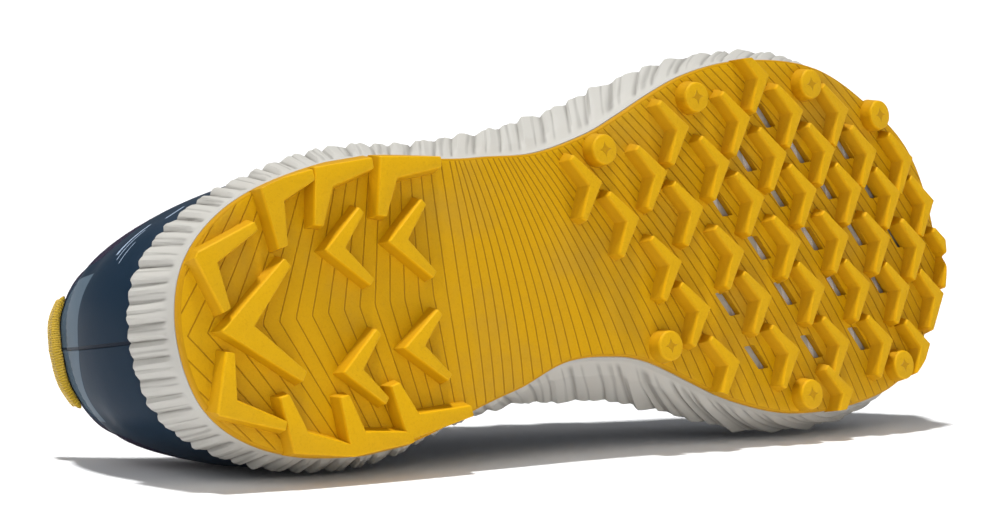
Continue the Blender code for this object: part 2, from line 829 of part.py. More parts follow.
def evaluated_points_and_middle(parts):
    """All corners of the parts, and the middle of their volume."""
    graph = bpy.context.evaluated_depsgraph_get()
    corners = []
    weighted = Vector((0, 0, 0))
    total = 0
    for part in parts:
        mesh = part.evaluated_get(graph).to_mesh()
        mesh.calc_loop_triangles()
        points = [vertex.co.copy() for vertex in mesh.vertices]
        for triangle in mesh.loop_triangles:
            a, b, c = (points[i] for i in triangle.vertices)
            volume = a.dot(b.cross(c)) / 6
            weighted += volume * (a + b + c) / 4
            total += volume
        corners += points
    return corners, weighted / total


def resting_normal(corners, middle):
    """Outward normal of the medial face of the hull, on the upper's side, that carries the weight."""
    hull = bmesh.new()
    for corner in corners:
        hull.verts.new(corner)
    bmesh.ops.convex_hull(hull, input=hull.verts)
    found = Vector((0, 0, 0))
    for face in hull.faces:
        normal = face.normal.copy()
        if normal.z < 0 or normal.y < found.y:
            continue
        foot = middle + normal * (face.verts[0].co - middle).dot(normal)
        ring = [vertex.co for vertex in face.verts]
        turns = [(b - a).cross(foot - a).dot(normal) for a, b in zip(ring, ring[1:] + ring[:1])]
        if min(turns) >= 0:
            found = normal
    hull.free()
    return found


def lay_down(parts):
    corners, middle = evaluated_points_and_middle(parts)
    down = resting_normal(corners, middle)
    forward = (Vector((1, 0, 0)) - down * down.x).normalized()
    left = (-down).cross(forward)
    turned = Matrix((forward, left, -down)).to_4x4()
    placed = [turned @ corner for corner in corners]
    low = Vector([min(point[i] for point in placed) for i in range(3)])
    high = Vector([max(point[i] for point in placed) for i in range(3)])
    middle = (low + high) / 2
    stand = bpy.data.objects.new("stand", None)
    bpy.context.scene.collection.objects.link(stand)
    stand.matrix_world = Matrix.Translation((-middle.x, -middle.y, -low.z)) @ turned
    for part in parts:
        part.parent = stand
    for helper in bpy.data.objects:
        if helper.type == "MESH" and helper.hide_render:
            helper.parent = stand


def main():
    for old in list(bpy.data.objects):
        bpy.data.objects.remove(old, do_unlink=True)
    makers = (
        make_outsole,
        make_window_plate,
        make_midsole,
        make_insole,
        make_upper,
        make_collar_lining,
        make_tongue,
        make_lace,
        make_heel_tab,
    )
    parts = [make() for make in makers]
    bpy.context.view_layer.update()
    lay_down(parts)


main()
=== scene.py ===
import json
from math import pi

import bmesh
import bpy
import numpy as np
from mathutils import Matrix, Vector

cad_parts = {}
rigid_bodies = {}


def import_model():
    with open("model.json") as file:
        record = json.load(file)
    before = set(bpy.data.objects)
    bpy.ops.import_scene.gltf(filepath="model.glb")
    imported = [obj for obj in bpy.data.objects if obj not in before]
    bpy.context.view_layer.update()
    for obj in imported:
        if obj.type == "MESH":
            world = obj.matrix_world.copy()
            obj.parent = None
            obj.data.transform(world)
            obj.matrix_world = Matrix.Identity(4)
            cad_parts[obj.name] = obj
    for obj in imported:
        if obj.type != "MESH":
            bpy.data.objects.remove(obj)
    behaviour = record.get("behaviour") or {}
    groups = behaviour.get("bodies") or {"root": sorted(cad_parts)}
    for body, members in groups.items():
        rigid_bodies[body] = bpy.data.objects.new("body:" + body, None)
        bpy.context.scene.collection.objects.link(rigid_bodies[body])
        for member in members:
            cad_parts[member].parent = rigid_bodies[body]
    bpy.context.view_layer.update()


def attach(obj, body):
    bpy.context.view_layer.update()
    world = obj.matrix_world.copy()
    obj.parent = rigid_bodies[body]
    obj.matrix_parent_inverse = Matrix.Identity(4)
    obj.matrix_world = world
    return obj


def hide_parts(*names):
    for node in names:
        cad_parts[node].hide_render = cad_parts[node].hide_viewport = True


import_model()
print("frame loaded")

mm = 0.001
lateral, medial = -1, 1

# Form of the shoe in metres: x from heel to toe, y to the medial side, z up from the ground
shoe = {
    "length": 290 * mm,
    "heelWidth": 83.6 * mm,
    "ballWidth": 110 * mm,
    "waist": (0.3, 0.6),
    "toeSpring": 9.7 * mm,
    "springStart": 0.62,
    "heelLift": 3 * mm,
    "heelLiftLength": 25 * mm,
    "lugHeight": 4.5 * mm,
    "rubber": 2.3 * mm,
    "stack": 28 * mm,
    "sideFlare": 6 * mm,
    "ledge": 4.5 * mm,
    "bedDepth": 2.5 * mm,
    "collarHeight": 87 * mm,
    "collarWidth": 66 * mm,
    "heelBulge": 3.5 * mm,
    "wallLean": 1.6,
    "wall": 1.8 * mm,
    "overlay": 0.8 * mm,
    "gap": 0.3 * mm,
    "up": (0.08831858, -0.98455238, -0.15118346),
    "place": (-0.14690427, -0.04393278, 0.04407983),
}
soleTop = shoe["lugHeight"] + shoe["rubber"]
midsoleBase = soleTop + shoe["gap"]
wall, gap, overlay = shoe["wall"], shoe["gap"], shoe["overlay"]

# Outline: share of the length, then lateral and medial shares of the half width
soleRows = (
    (0.000, 0.000, 0.000), (0.014, 0.443, 0.478), (0.063, 0.778, 0.801), (0.139, 0.950, 0.955),
    (0.241, 1.005, 0.971), (0.379, 0.842, 0.713), (0.448, 0.746, 0.539), (0.517, 0.747, 0.518),
    (0.561, 0.798, 0.575), (0.655, 0.955, 0.842), (0.741, 0.993, 0.984), (0.845, 0.895, 0.996),
    (0.922, 0.644, 0.884), (0.981, 0.313, 0.524), (1.000, -0.145, 0.145),
)
# Flare of the midsole past the outsole, lateral and medial
flareRows = (
    (0.00, 0.35, 0.35), (0.06, 0.20, 0.30), (0.14, 0.35, 0.55), (0.24, 0.70, 0.75), (0.38, 1.20, 1.00),
    (0.46, 1.50, 2.00), (0.55, 1.25, 1.90), (0.64, 0.75, 1.00), (0.72, 0.65, 0.85), (0.82, 0.90, 0.92),
    (0.90, 1.00, 1.00), (1.00, 0.90, 0.90),
)
stackRows = ((0.00, 1.00), (0.06, 0.93), (0.20, 0.87), (0.50, 0.87), (0.80, 0.83), (1.00, 0.83))
# Edge of collar and throat: turn, along, lateral and medial shares, height
topRows = (
    (0.00, 0.034, 0.00, 0.00, 1.000), (0.06, 0.039, 0.30, 0.37, 0.995), (0.12, 0.060, 0.64, 0.77, 0.930),
    (0.20, 0.115, 0.88, 1.02, 0.800), (0.28, 0.193, 0.97, 1.16, 0.725), (0.34, 0.259, 0.92, 1.08, 0.790),
    (0.38, 0.307, 0.79, 0.86, 0.930), (0.42, 0.335, 0.67, 0.73, 1.020), (0.50, 0.414, 0.57, 0.62, 0.990),
    (0.58, 0.500, 0.50, 0.56, 0.920), (0.66, 0.580, 0.43, 0.49, 0.845), (0.74, 0.645, 0.30, 0.38, 0.785),
    (0.82, 0.668, 0.19, 0.28, 0.765), (0.91, 0.680, 0.05, 0.17, 0.755), (1.00, 0.684, -0.06, 0.06, 0.752),
)
# Sections of the upper: turn, arch, share of the heel's bulge
sectionRows = (
    (0.00, 0.00, 1.0), (0.20, 0.00, 0.8), (0.30, 0.15, 0.6), (0.38, 0.45, 0.5), (0.45, 0.75, 0.4),
    (0.60, 0.90, 0.1), (0.75, 1.00, 0.0), (1.00, 1.00, 0.0),
)
eyeletTurns = (0.44, 0.495, 0.55, 0.605, 0.66, 0.715)
eyeletShare = 0.93
eyeletRadius = 2.1 * mm


def read(rows, column, at):
    keys, values = (np.array([row[i] for row in rows], float) for i in (0, column))
    last = len(keys) - 1
    at = np.clip(at, keys[0], keys[last])
    first = np.clip(np.searchsorted(keys, at, side="right") - 1, 0, last - 1)
    low = np.maximum(np.arange(last + 1) - 1, 0)
    high = np.minimum(np.arange(last + 1) + 1, last)
    slopes = (values[high] - values[low]) / (keys[high] - keys[low])
    span = keys[first + 1] - keys[first]
    s = (at - keys[first]) / span
    start = (1 + 2 * s) * (1 - s) ** 2 * values[first] + s * (1 - s) ** 2 * span * slopes[first]
    end = s * s * (3 - 2 * s) * values[first + 1] - s * s * (1 - s) * span * slopes[first + 1]
    return start + end


def turnOf(along):
    return np.arccos(1 - 2 * np.asarray(along)) / pi


def alongOf(turn):
    return (1 - np.cos(pi * np.asarray(turn))) / 2


soleTurns = tuple((float(turnOf(row[0])),) + row[1:] for row in soleRows)
flareTurns = tuple((float(turnOf(row[0])),) + row[1:] for row in flareRows)


def unit(vectors):
    return vectors / np.maximum(np.linalg.norm(vectors, axis=-1, keepdims=True), 1e-12)


def soft(value, low, high):
    t = np.clip((value - low) / (high - low), 0, 1)
    return t * t * (3 - 2 * t)


def summed(steps):
    return np.concatenate(((0,), np.cumsum(steps)))


def lengthAlong(points):
    return summed(np.linalg.norm(np.diff(points, axis=0), axis=1))


def bySide(rows, column, side, turn):
    return np.where(side < 0, read(rows, column, turn), read(rows, column + 1, turn))


def folded(side, turn):
    side, turn = np.broadcast_arrays(np.asarray(side, float), np.asarray(turn, float))
    past = (turn < 0) | (turn > 1)
    return np.where(past, -side, side), np.where(turn < 0, -turn, np.where(turn > 1, 2 - turn, turn))


def halfWidth(along):
    share = soft(along, *shoe["waist"])
    return (shoe["heelWidth"] + (shoe["ballWidth"] - shoe["heelWidth"]) * share) / 2


def soleEdge(side, turn):
    side, turn = folded(side, turn)
    along = alongOf(turn)
    across = side * halfWidth(along) * bySide(soleTurns, 1, side, turn)
    return np.stack((shoe["length"] * along, across), -1)


def edgeNormal(side, turn):
    side, turn = np.broadcast_arrays(np.asarray(side, float), np.asarray(turn, float))
    run = soleEdge(side, turn + 0.01) - soleEdge(side, turn - 0.01)
    return unit(side[..., None] * np.stack((-run[..., 1], run[..., 0]), -1))


def flare(side, turn):
    side, turn = folded(side, turn)
    return shoe["sideFlare"] * bySide(flareTurns, 1, side, turn)


def lift(x):
    toe = np.maximum(np.asarray(x) / shoe["length"] - shoe["springStart"], 0) / (1 - shoe["springStart"])
    heel = np.clip((shoe["heelLiftLength"] - np.asarray(x)) / shoe["heelLiftLength"], 0, 1)
    return shoe["toeSpring"] * toe ** 2 + shoe["heelLift"] * heel ** 2


def stackHeight(x):
    return shoe["stack"] * read(stackRows, 1, np.clip(x / shoe["length"], 0, 1)) + lift(x)


def edgePoints(side, turn, out, height):
    flat = soleEdge(side, turn) + np.asarray(out)[..., None] * edgeNormal(side, turn)
    return np.stack((flat[..., 0], flat[..., 1], height + lift(flat[..., 0])), -1)


# Points between the lateral and the medial edge of the sole, each moved out by its own amount
def betweenEdges(turn, share, outs, height):
    first, second = (edgePoints(side, turn, out, height) for side, out in zip((lateral, medial), outs))
    return first + (second - first) * share[:, None]


def topLine(side, turn):
    across = side * shoe["collarWidth"] / 2 * bySide(topRows, 2, side, turn)
    height = shoe["collarHeight"] * read(topRows, 4, turn)
    return np.stack((shoe["length"] * read(topRows, 1, turn), across, height), -1)


def lastPoints(side, turn, share):
    side, turn = folded(side, turn)
    foot = edgePoints(side, turn, flare(side, turn) - shoe["ledge"], 0)
    foot[..., 2] = stackHeight(foot[..., 0]) + gap
    top = topLine(side, turn)
    arch = read(sectionRows, 1, turn)
    inward = arch * (1 - np.cos(pi / 2 * share)) + (1 - arch) * share ** shoe["wallLean"]
    up = arch * np.sin(pi / 2 * share) + (1 - arch) * share
    bulge = shoe["heelBulge"] * read(sectionRows, 2, turn) * np.sin(pi * share)
    points = foot + (top - foot) * np.stack((inward, inward, up), -1)
    points[..., :2] += edgeNormal(side, turn) * bulge[..., None]
    return points


def surfaceNormal(side, turn, share):
    run = lastPoints(side, turn + 0.01, share) - lastPoints(side, turn - 0.01, share)
    rise = lastPoints(side, turn, np.minimum(share + 0.02, 1)) - lastPoints(side, turn, np.maximum(share - 0.02, 0))
    normal = -side[..., None] * np.cross(run, rise)
    normal[..., 2] = np.where(share <= 0, 0, normal[..., 2])
    return unit(normal)


def surfacePoints(side, turn, share, out):
    side, turn, share, out = np.broadcast_arrays(*(np.asarray(a, float) for a in (side, turn, share, out)))
    return lastPoints(side, turn, share) + out[..., None] * surfaceNormal(side, turn, share)


# Side and turn at a share of the way from the lateral end round the heel to the medial end
def sideTurn(share, reach=1.0):
    signed = (2 * share - 1) * reach
    return np.where(signed < 0, lateral, medial).astype(float), np.abs(signed)


def surfacePoint(side, turn, share, out):
    return surfacePoints([side], [turn], [share], [out])[0]


forward = Vector((1, 0, 0)) - Vector(shoe["up"]) * shoe["up"][0]
forward.normalize()
left = Vector(shoe["up"]).cross(forward)
stand = Matrix.Translation(shoe["place"]) @ Matrix((forward, left, shoe["up"])).to_4x4()


# Meshes


def meshOf(shape, name):
    mesh = bpy.data.meshes.new(name)
    shape.to_mesh(mesh)
    shape.free()
    return mesh


def setMap(mesh, name, values):
    corners = np.empty(len(mesh.loops), np.int32)
    mesh.loops.foreach_get("vertex_index", corners)
    layer = mesh.uv_layers.new(name=name)
    layer.data.foreach_set("uv", np.asarray(values, np.float32)[corners].ravel())


def setMaps(mesh, maps):
    for name, values in maps.items():
        setMap(mesh, name, np.stack(values, -1))


def pointsOf(mesh):
    flat = np.empty(len(mesh.vertices) * 3, np.float32)
    mesh.vertices.foreach_get("co", flat)
    return flat.reshape(-1, 3).astype(float)


def setPoints(mesh, points):
    mesh.vertices.foreach_set("co", points.astype(np.float32).ravel())


def linked(name, data):
    thing = bpy.data.objects.new(name, data)
    bpy.context.scene.collection.objects.link(thing)
    return thing


# A grid whose unit square is laid on a surface. place gives the points and the piece's maps
def sheet(name, columns, rows, place):
    shape = bmesh.new()
    bmesh.ops.create_grid(shape, x_segments=columns, y_segments=rows, size=0.5)
    mesh = meshOf(shape, name)
    flat = pointsOf(mesh)
    points, maps = place(np.clip(flat[:, 0] + 0.5, 0, 1), np.clip(flat[:, 1] + 0.5, 0, 1))
    setPoints(mesh, points)
    setMaps(mesh, maps)
    return welded(mesh)


def welded(mesh, distance=0.002 * mm):
    shape = bmesh.new()
    shape.from_mesh(mesh)
    bmesh.ops.remove_doubles(shape, verts=shape.verts, dist=distance)
    bmesh.ops.dissolve_degenerate(shape, dist=distance / 4, edges=shape.edges)
    bmesh.ops.recalc_face_normals(shape, faces=shape.faces)
    shape.to_mesh(mesh)
    shape.free()
    return mesh


def rounded(shape, edges, offset, segments):
    bmesh.ops.bevel(shape, geom=edges, offset=offset, offset_type="OFFSET", segments=segments, profile=0.5,
                    affect="EDGES", material=-1)


def joined(name, meshes):
    shape = bmesh.new()
    for mesh in meshes:
        shape.from_mesh(mesh)
    return meshOf(shape, name)


def combined(mesh, other, operation):
    things = [linked("work", each) for each in (mesh, other)]
    modifier = things[0].modifiers.new("cut", "BOOLEAN")
    modifier.operation = operation
    modifier.solver = "EXACT"
    modifier.use_self = operation == "INTERSECT"
    modifier.object = things[1]
    graph = bpy.context.evaluated_depsgraph_get()
    made = bpy.data.meshes.new_from_object(things[0].evaluated_get(graph))
    for thing in things:
        bpy.data.objects.remove(thing, do_unlink=True)
    return made


def addPiece(name, mesh, material, node, sharp=0.7):
    mesh.transform(stand)
    mesh.materials.clear()
    mesh.materials.append(material)
    mesh.shade_smooth()
    mesh.set_sharp_from_angle(angle=sharp)
    piece = linked(name, mesh)
    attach(piece, "root")
    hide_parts(node)
    print(name, "triangles", sum(len(face.vertices) - 2 for face in mesh.polygons))
    return piece


# A padded or flat body on both sides of a surface, with rounded borders
def pillow(name, columns, rows, surface, thickness, maps, rounding=8):
    step = 0.002

    def place(u, v):
        front = v <= 0.5
        way = np.where(front, 2 * v, 2 - 2 * v)
        w = (1 - np.cos(pi * way)) / 2
        run = surface(np.clip(u + step, 0, 1), w) - surface(np.clip(u - step, 0, 1), w)
        inner = np.clip(w, step, 1 - step)
        rise = surface(u, inner + step) - surface(u, inner - step)
        normal = unit(np.cross(run, rise))
        border = np.sqrt(np.clip(1 - np.abs(2 * w - 1) ** rounding, 0, 1))
        border *= np.sqrt(np.clip(1 - np.abs(2 * u - 1) ** (rounding * 3), 0, 1))
        out = np.where(front, 1, -1) * thickness(u, w) / 2 * border
        return surface(u, w) + out[..., None] * normal, maps(u, w)

    return sheet(name, columns, rows, place)


# Smooth surface through a rectangle of points
def netPoints(net, u, v):
    def spline(t, count):
        x = t * (count - 1)
        first = np.clip(np.floor(x).astype(int), 0, count - 2)
        f = (x - first)[..., None]
        weights = np.concatenate((
            (-f + 2 * f ** 2 - f ** 3) / 2, (2 - 5 * f ** 2 + 3 * f ** 3) / 2,
            (f + 4 * f ** 2 - 3 * f ** 3) / 2, (f ** 3 - f ** 2) / 2), -1)
        return np.clip(first[..., None] + np.arange(-1, 3), 0, count - 1), weights

    rowsAt, rowWeights = spline(u, net.shape[0])
    columnsAt, columnWeights = spline(v, net.shape[1])
    picked = net[rowsAt[..., :, None], columnsAt[..., None, :]]
    return np.einsum("...i,...j,...ijk->...k", rowWeights, columnWeights, picked)


# Materials


# Math node of two values, in their order or turned round
def operator(operation, turned=False):
    def made(value, other):
        return value.surface.maths(operation, *((other, value) if turned else (value, other)))

    return made


class Value:
    def __init__(self, surface, socket):
        self.surface = surface
        self.socket = socket

    __add__, __radd__ = operator("ADD"), operator("ADD", True)
    __sub__, __rsub__ = operator("SUBTRACT"), operator("SUBTRACT", True)
    __mul__, __rmul__ = operator("MULTIPLY"), operator("MULTIPLY", True)
    __truediv__, __pow__ = operator("DIVIDE"), operator("POWER")

    def __abs__(self):
        return self.surface.maths("ABSOLUTE", self)


class Surface:
    def __init__(self, name, constants, owner=None, shader="Principled BSDF"):
        self.material = owner or bpy.data.materials.new(name)
        self.material.use_nodes = True
        self.tree = self.material.node_tree
        self.shader = self.tree.nodes[shader]
        self.feed(self.shader, constants)

    def feed(self, node, sockets):
        for key, value in sockets.items():
            if isinstance(value, Value):
                self.tree.links.new(value.socket, node.inputs[key])
            elif value is not None:
                node.inputs[key].default_value = value

    # settings and the points of a curve are set first, then the sockets
    def node(self, kind, settings, sockets, output=0, points=()):
        made = self.tree.nodes.new(kind)
        for key, value in settings.items():
            setattr(made, key, value)
        if points:
            curve = made.mapping.curves[0]
            curve.points[0].location, curve.points[1].location = points[0], points[-1]
            for point in points[1:-1]:
                curve.points.new(*point)
            made.mapping.update()
        self.feed(made, sockets)
        return Value(self, made.outputs[output])

    def objectPlace(self):
        return self.node("ShaderNodeTexCoord", {}, {}, "Object")

    # Both values of a map, as two numbers
    def mapValues(self, name):
        place = self.node("ShaderNodeUVMap", {"uv_map": name}, {})
        return (self.node("ShaderNodeSeparateXYZ", {}, {0: place}, axis) for axis in ("X", "Y"))

    def combine(self, x, y):
        return self.node("ShaderNodeCombineXYZ", {}, {0: x, 1: y})

    def noise(self, place, scale, detail=3.0, roughness=0.5):
        sockets = {"Vector": place, "Scale": scale, "Detail": detail, "Roughness": roughness}
        return self.node("ShaderNodeTexNoise", {}, sockets, "Fac")

    def cells(self, place, scale):
        return self.node("ShaderNodeTexVoronoi", {}, {"Vector": place, "Scale": scale}, "Distance")

    def soft(self, value, low, high, first=0.0, last=1.0):
        sockets = {"Value": value, 1: low, 2: high, 3: first, 4: last}
        return self.node("ShaderNodeMapRange", {"interpolation_type": "SMOOTHSTEP"}, sockets)

    # 1 up to low, 0 from high on
    def fall(self, value, low, high):
        return self.soft(value, low, high, 1.0, 0.0)

    def maths(self, operation, first, second=None):
        return self.node("ShaderNodeMath", {"operation": operation}, {0: first, 1: second})

    # Distance of a phase from the nearest whole number
    def away(self, phase):
        return self.maths("PINGPONG", phase, 0.5)

    def larger(self, first, second):
        return self.maths("MAXIMUM", first, second)

    def wave(self, value):
        return self.maths("SINE", value)

    def mixed(self, factor, first, second):
        first, second = (c if isinstance(c, Value) else (*c, 1.0) for c in (first, second))
        settings = {"data_type": "RGBA", "clamp_factor": True}
        return self.node("ShaderNodeMix", settings, {0: factor, 6: first, 7: second}, 2)

    # Colours of a look laid over its ground: share and name of each
    def layers(self, look, ground, *rows):
        colour = look[ground]
        for share, name in rows:
            colour = self.mixed(share, colour, look[name])
        return colour

    def weave(self, x, y, scale):
        return self.wave(x * scale) * self.wave(y * scale)

    # Heights of the weave and the fuzz, and the share of the second thread
    def woven(self, x, y, scale, fine):
        weave = self.weave(x, y, scale)
        fuzz = self.noise(self.objectPlace(), fine)
        return weave, fuzz, self.soft(weave + fuzz - 0.5, -0.6, 0.8)

    # A smooth step at zero, as wide as twice the edge
    def past(self, value, edge):
        return self.soft(value, -edge, edge)

    # A smooth curve through a table, as a ramp over the value
    def curve(self, value, rows, low, high):
        points = [((key - low) / (high - low), share) for key, share in rows]
        placed = self.node("ShaderNodeMapRange", {}, {"Value": value, 1: low, 2: high, 3: 0.0, 4: 1.0})
        return self.node("ShaderNodeFloatCurve", {}, {"Value": placed}, 0, points)

    def use(self, colour=None, roughness=None, height=None, distance=0.2 * mm, strength=1.0, **others):
        if height is not None:
            bump = {"Height": height, "Distance": distance, "Strength": strength}
            others["Normal"] = self.node("ShaderNodeBump", {}, bump)
        self.feed(self.shader, {"Base Color": colour, "Roughness": roughness, **others})
        return self.material


# Outsole

outsoleLook = {
    "land": (0.655, 0.352, 0.0015),
    # the lugs are a little lighter than the land, and the lug faces lighter still, as painted highlight
    "lug": (0.705, 0.385, 0.0015),
    # painted shade: this darker tone fills the sipe lines and the studs' recessed crosses
    "shadedGroove": (0.38, 0.165, 0.002),
    "dirt": (0.36, 0.23, 0.05),
    "lugFaceHighlight": (0.86, 0.54, 0.02),
    # side: painted shade on the lug walls and at their roots; also the tone of the grain mottling
    "side": (0.47, 0.225, 0.002),
    "roughness": 0.52,
    "grooveWidth": 0.20,  # half width in mm
    "bevel": 0.32 * mm,
    "columns": 260,
}
# Sipe lines: place along in mm, pitch in mm, slope
sipeRows = (
    (0, 6.0, 0.0), (60, 5.4, 0.0), (92, 4.8, 0.0), (100, 3.8, 0.0), (107, 3.2, 0.05), (120, 3.0, 0.15),
    (130, 3.0, 0.25), (140, 3.1, 0.38), (165, 3.4, 0.58), (200, 3.6, 0.66), (300, 3.8, 0.66),
)
lugSizes = {"reach": 13 * mm, "pitch": 25 * mm, "draft": 1.6 * mm, "edgeDraft": 1.0 * mm,
            "root": 1 * mm, "taper": 0.5}
heelLugs = (
    (0.034, 0.00, 0.114, -0.41, 0.114, 0.42, 0.46), (0.017, -0.53, 0.086, -0.68, 0.038, -0.12, 0.38),
    (0.017, 0.54, 0.086, 0.72, 0.035, 0.14, 0.38), (0.100, -0.92, 0.162, -0.97, 0.110, -0.48, 0.46),
    (0.093, 0.88, 0.162, 0.98, 0.086, 0.50, 0.46), (0.166, -0.98, 0.234, -0.99, 0.155, -0.60, 0.46),
    (0.159, 0.98, 0.234, 0.96, 0.155, 0.57, 0.46), (0.164, -0.42, 0.210, -0.67, 0.210, -0.14, 0.32),
    (0.164, 0.41, 0.209, 0.16, 0.207, 0.67, 0.32), (0.240, -0.41, 0.286, -0.66, 0.286, -0.12, 0.32),
    (0.240, 0.32, 0.286, 0.10, 0.286, 0.59, 0.32), (0.245, -0.99, 0.317, -0.93, 0.231, -0.60, 0.46),
    (0.228, 0.94, 0.310, 0.86, 0.217, 0.56, 0.46),
)
lugRows = (
    (-0.890, 0.760, 1, 0, 0), (-0.673, 0.638, 4, 1, 1), (-0.449, 0.514, 7, 2, 3), (-0.227, 0.555, 7, 1, 4),
    (0.045, 0.602, 7, 1, 4), (0.318, 0.631, 6, 0, 4), (0.636, 0.660, 5, 0, 3), (0.909, 0.816, 1, 0, 0),
)
lugArms = ((-0.70, -0.69), (-0.60, 0.82))
lugBand = 0.27
studs = (
    (0.524, -0.618), (0.655, -0.827), (0.821, -0.809), (0.922, -0.582), (0.572, 0.482), (0.755, 0.891),
    (0.902, 0.836),
)
studSizes = {"face": 4.4 * mm, "foot": 5.3 * mm, "height": 5.5 * mm, "bevel": 0.55 * mm}
windowSizes = {"along": 4.2 * mm, "across": 7.6 * mm, "slant": 0.62, "up": 1.3 * mm, "depth": 4 * mm,
               "bevel": 0.5 * mm}


# Count of the sipe line at a place of the tread
def sipePhase(x, y):
    x, y = x / mm, y / mm
    heel = (x - 0.75 * np.abs(y)) / (1 - 0.75 * np.abs(y) / 92)
    start = np.where(heel < 92, heel, x)
    front = x.copy()
    for _ in range(60):
        slope = read(sipeRows, 2, front)
        front += 0.6 * (x - slope * y + 0.003 * y * y * soft(front, 92, 112) - front)
    place = np.where(x < 92, start, front)
    steps = np.linspace(-40, 330, 1500)
    count = summed(np.diff(steps) / read(sipeRows, 1, (steps[1:] + steps[:-1]) / 2))
    return np.interp(place, steps, count)


def treadMaps(points, land, local=None):
    x, y, z = points.T
    level = (z - lift(x)) / mm
    phase = sipePhase(x, y)
    local = np.full((len(points), 2), 9.0) if local is None else local
    growth = np.hypot(sipePhase(x + 0.1 * mm, y) - phase, sipePhase(x, y + 0.1 * mm) - phase) / 0.1
    return {"tread": (phase, land), "level": (level, growth), "stud": (local[:, 0], local[:, 1])}


def chevron(apex, first, second, width, grow, draft):
    ends = []
    inward = []
    for tip, other in ((first, second), (second, first)):
        arm = (tip - apex).normalized()
        normal = Vector((-arm.y, arm.x))
        if normal.dot(other - apex) < 0:
            normal.negate()
        inward.append(normal)
        end = tip + arm * grow
        ends.append((end - normal * grow, end + normal * (width * lugSizes["taper"] + draft)))
    both = (inward[0] + inward[1]) / (1 + inward[0].dot(inward[1]))
    return (apex - both * grow, *ends[0], apex + both * (width + draft), *ends[1][::-1])


def addLug(shape, apex, first, second, width):
    sizes = lugSizes
    face = chevron(apex, first, second, width, 0, 0)
    foot = chevron(apex, first, second, width, sizes["edgeDraft"], sizes["draft"])
    corners = [shape.verts.new((p.x, p.y, float(lift(p.x)))) for p in face]
    grown = bmesh.ops.extrude_face_region(shape, geom=[shape.faces.new(corners)])
    for vert in [each for each in grown["geom"] if isinstance(each, bmesh.types.BMVert)]:
        nearest = min(range(6), key=lambda i: (face[i] - vert.co.xy).length)
        p = foot[nearest]
        vert.co = (p.x, p.y, shoe["lugHeight"] + sizes["root"] + float(lift(p.x)))


def forefootLugs():
    half = shoe["ballWidth"] / 2
    for across, along, count, firstWindow, windows in lugRows:
        for k in range(count):
            pitch = lugSizes["pitch"] * (1 - 1.3 * max(along - 0.655, 0))
            apex = Vector((along * shoe["length"], (across + 3.8 * max(along - 0.776, 0) ** 2) * half))
            window = apex + Vector((0.42 * pitch, 0)) if firstWindow <= k < firstWindow + windows else None
            yield apex, window
            along += pitch / shoe["length"]


# Tall body inside the outline, which trims the lugs
def rimBody():
    low, high = -10 * mm, 30 * mm

    def place(u, v):
        keys = (0, 0.3, 0.5, 0.8, 1)
        share = (np.interp(v, keys, (-1, 1, 1, -1, -1)) + 1) / 2
        height = np.interp(v, keys, (low, low, high, high, low))
        return betweenEdges(u, share, (gap, gap), height), {}

    return sheet("rim", 160, 10, place)


def makeLugs():
    shape = bmesh.new()
    half = shoe["heelWidth"] / 2
    for row in heelLugs:
        apex, first, second = (Vector((row[i] * shoe["length"], row[i + 1] * half)) for i in (0, 2, 4))
        addLug(shape, apex, first, second, row[6] * lugSizes["reach"])
    for apex, _ in forefootLugs():
        first, second = (apex + lugSizes["reach"] * Vector(arm) for arm in lugArms)
        addLug(shape, apex, first, second, lugBand * lugSizes["reach"])
    bmesh.ops.recalc_face_normals(shape, faces=shape.faces)
    edges = [edge for edge in shape.edges if min(v.co.z - float(lift(v.co.x)) for v in edge.verts) <= 2 * mm]
    rounded(shape, edges, outsoleLook["bevel"], 3)
    return combined(meshOf(shape, "lugs"), rimBody(), "INTERSECT")


def makeStud(along, across):
    shape = bmesh.new()
    x, y = along * shoe["length"], across * shoe["ballWidth"] / 2
    face, height = studSizes["face"], studSizes["height"]
    bmesh.ops.create_cone(shape, cap_ends=True, segments=40, radius1=face, radius2=studSizes["foot"], depth=height)
    rim = [edge for edge in shape.edges if all(v.co.z < 0 for v in edge.verts)]
    rounded(shape, rim, studSizes["bevel"], 4)
    bmesh.ops.recalc_face_normals(shape, faces=shape.faces)
    mesh = meshOf(shape, "stud")
    points = pointsOf(mesh)
    local = points[:, :2] / face
    local[points[:, 2] > 0] = 9
    points += (x, y, height / 2)
    points[:, 2] += lift(points[:, 0])
    setPoints(mesh, points)
    setMaps(mesh, treadMaps(points, np.zeros(len(points)), local))
    return mesh


def makeWindows():
    shape = bmesh.new()
    sizes = windowSizes
    for window in [each for _, each in forefootLugs() if each]:
        box = bmesh.ops.create_cube(shape, size=1)["verts"]
        for vert in box:
            y = vert.co.y * sizes["across"]
            x = vert.co.x * sizes["along"] + sizes["slant"] * y
            z = shoe["lugHeight"] + sizes["up"] + vert.co.z * sizes["depth"] + float(lift(window.x))
            vert.co = (window.x + x, window.y + y, z)
        edges = {edge for vert in box for edge in vert.link_edges if abs(edge.verts[0].co.z - edge.verts[1].co.z) > mm}
        rounded(shape, list(edges), windowSizes["bevel"], 3)
    bmesh.ops.recalc_face_normals(shape, faces=shape.faces)
    return meshOf(shape, "windows")


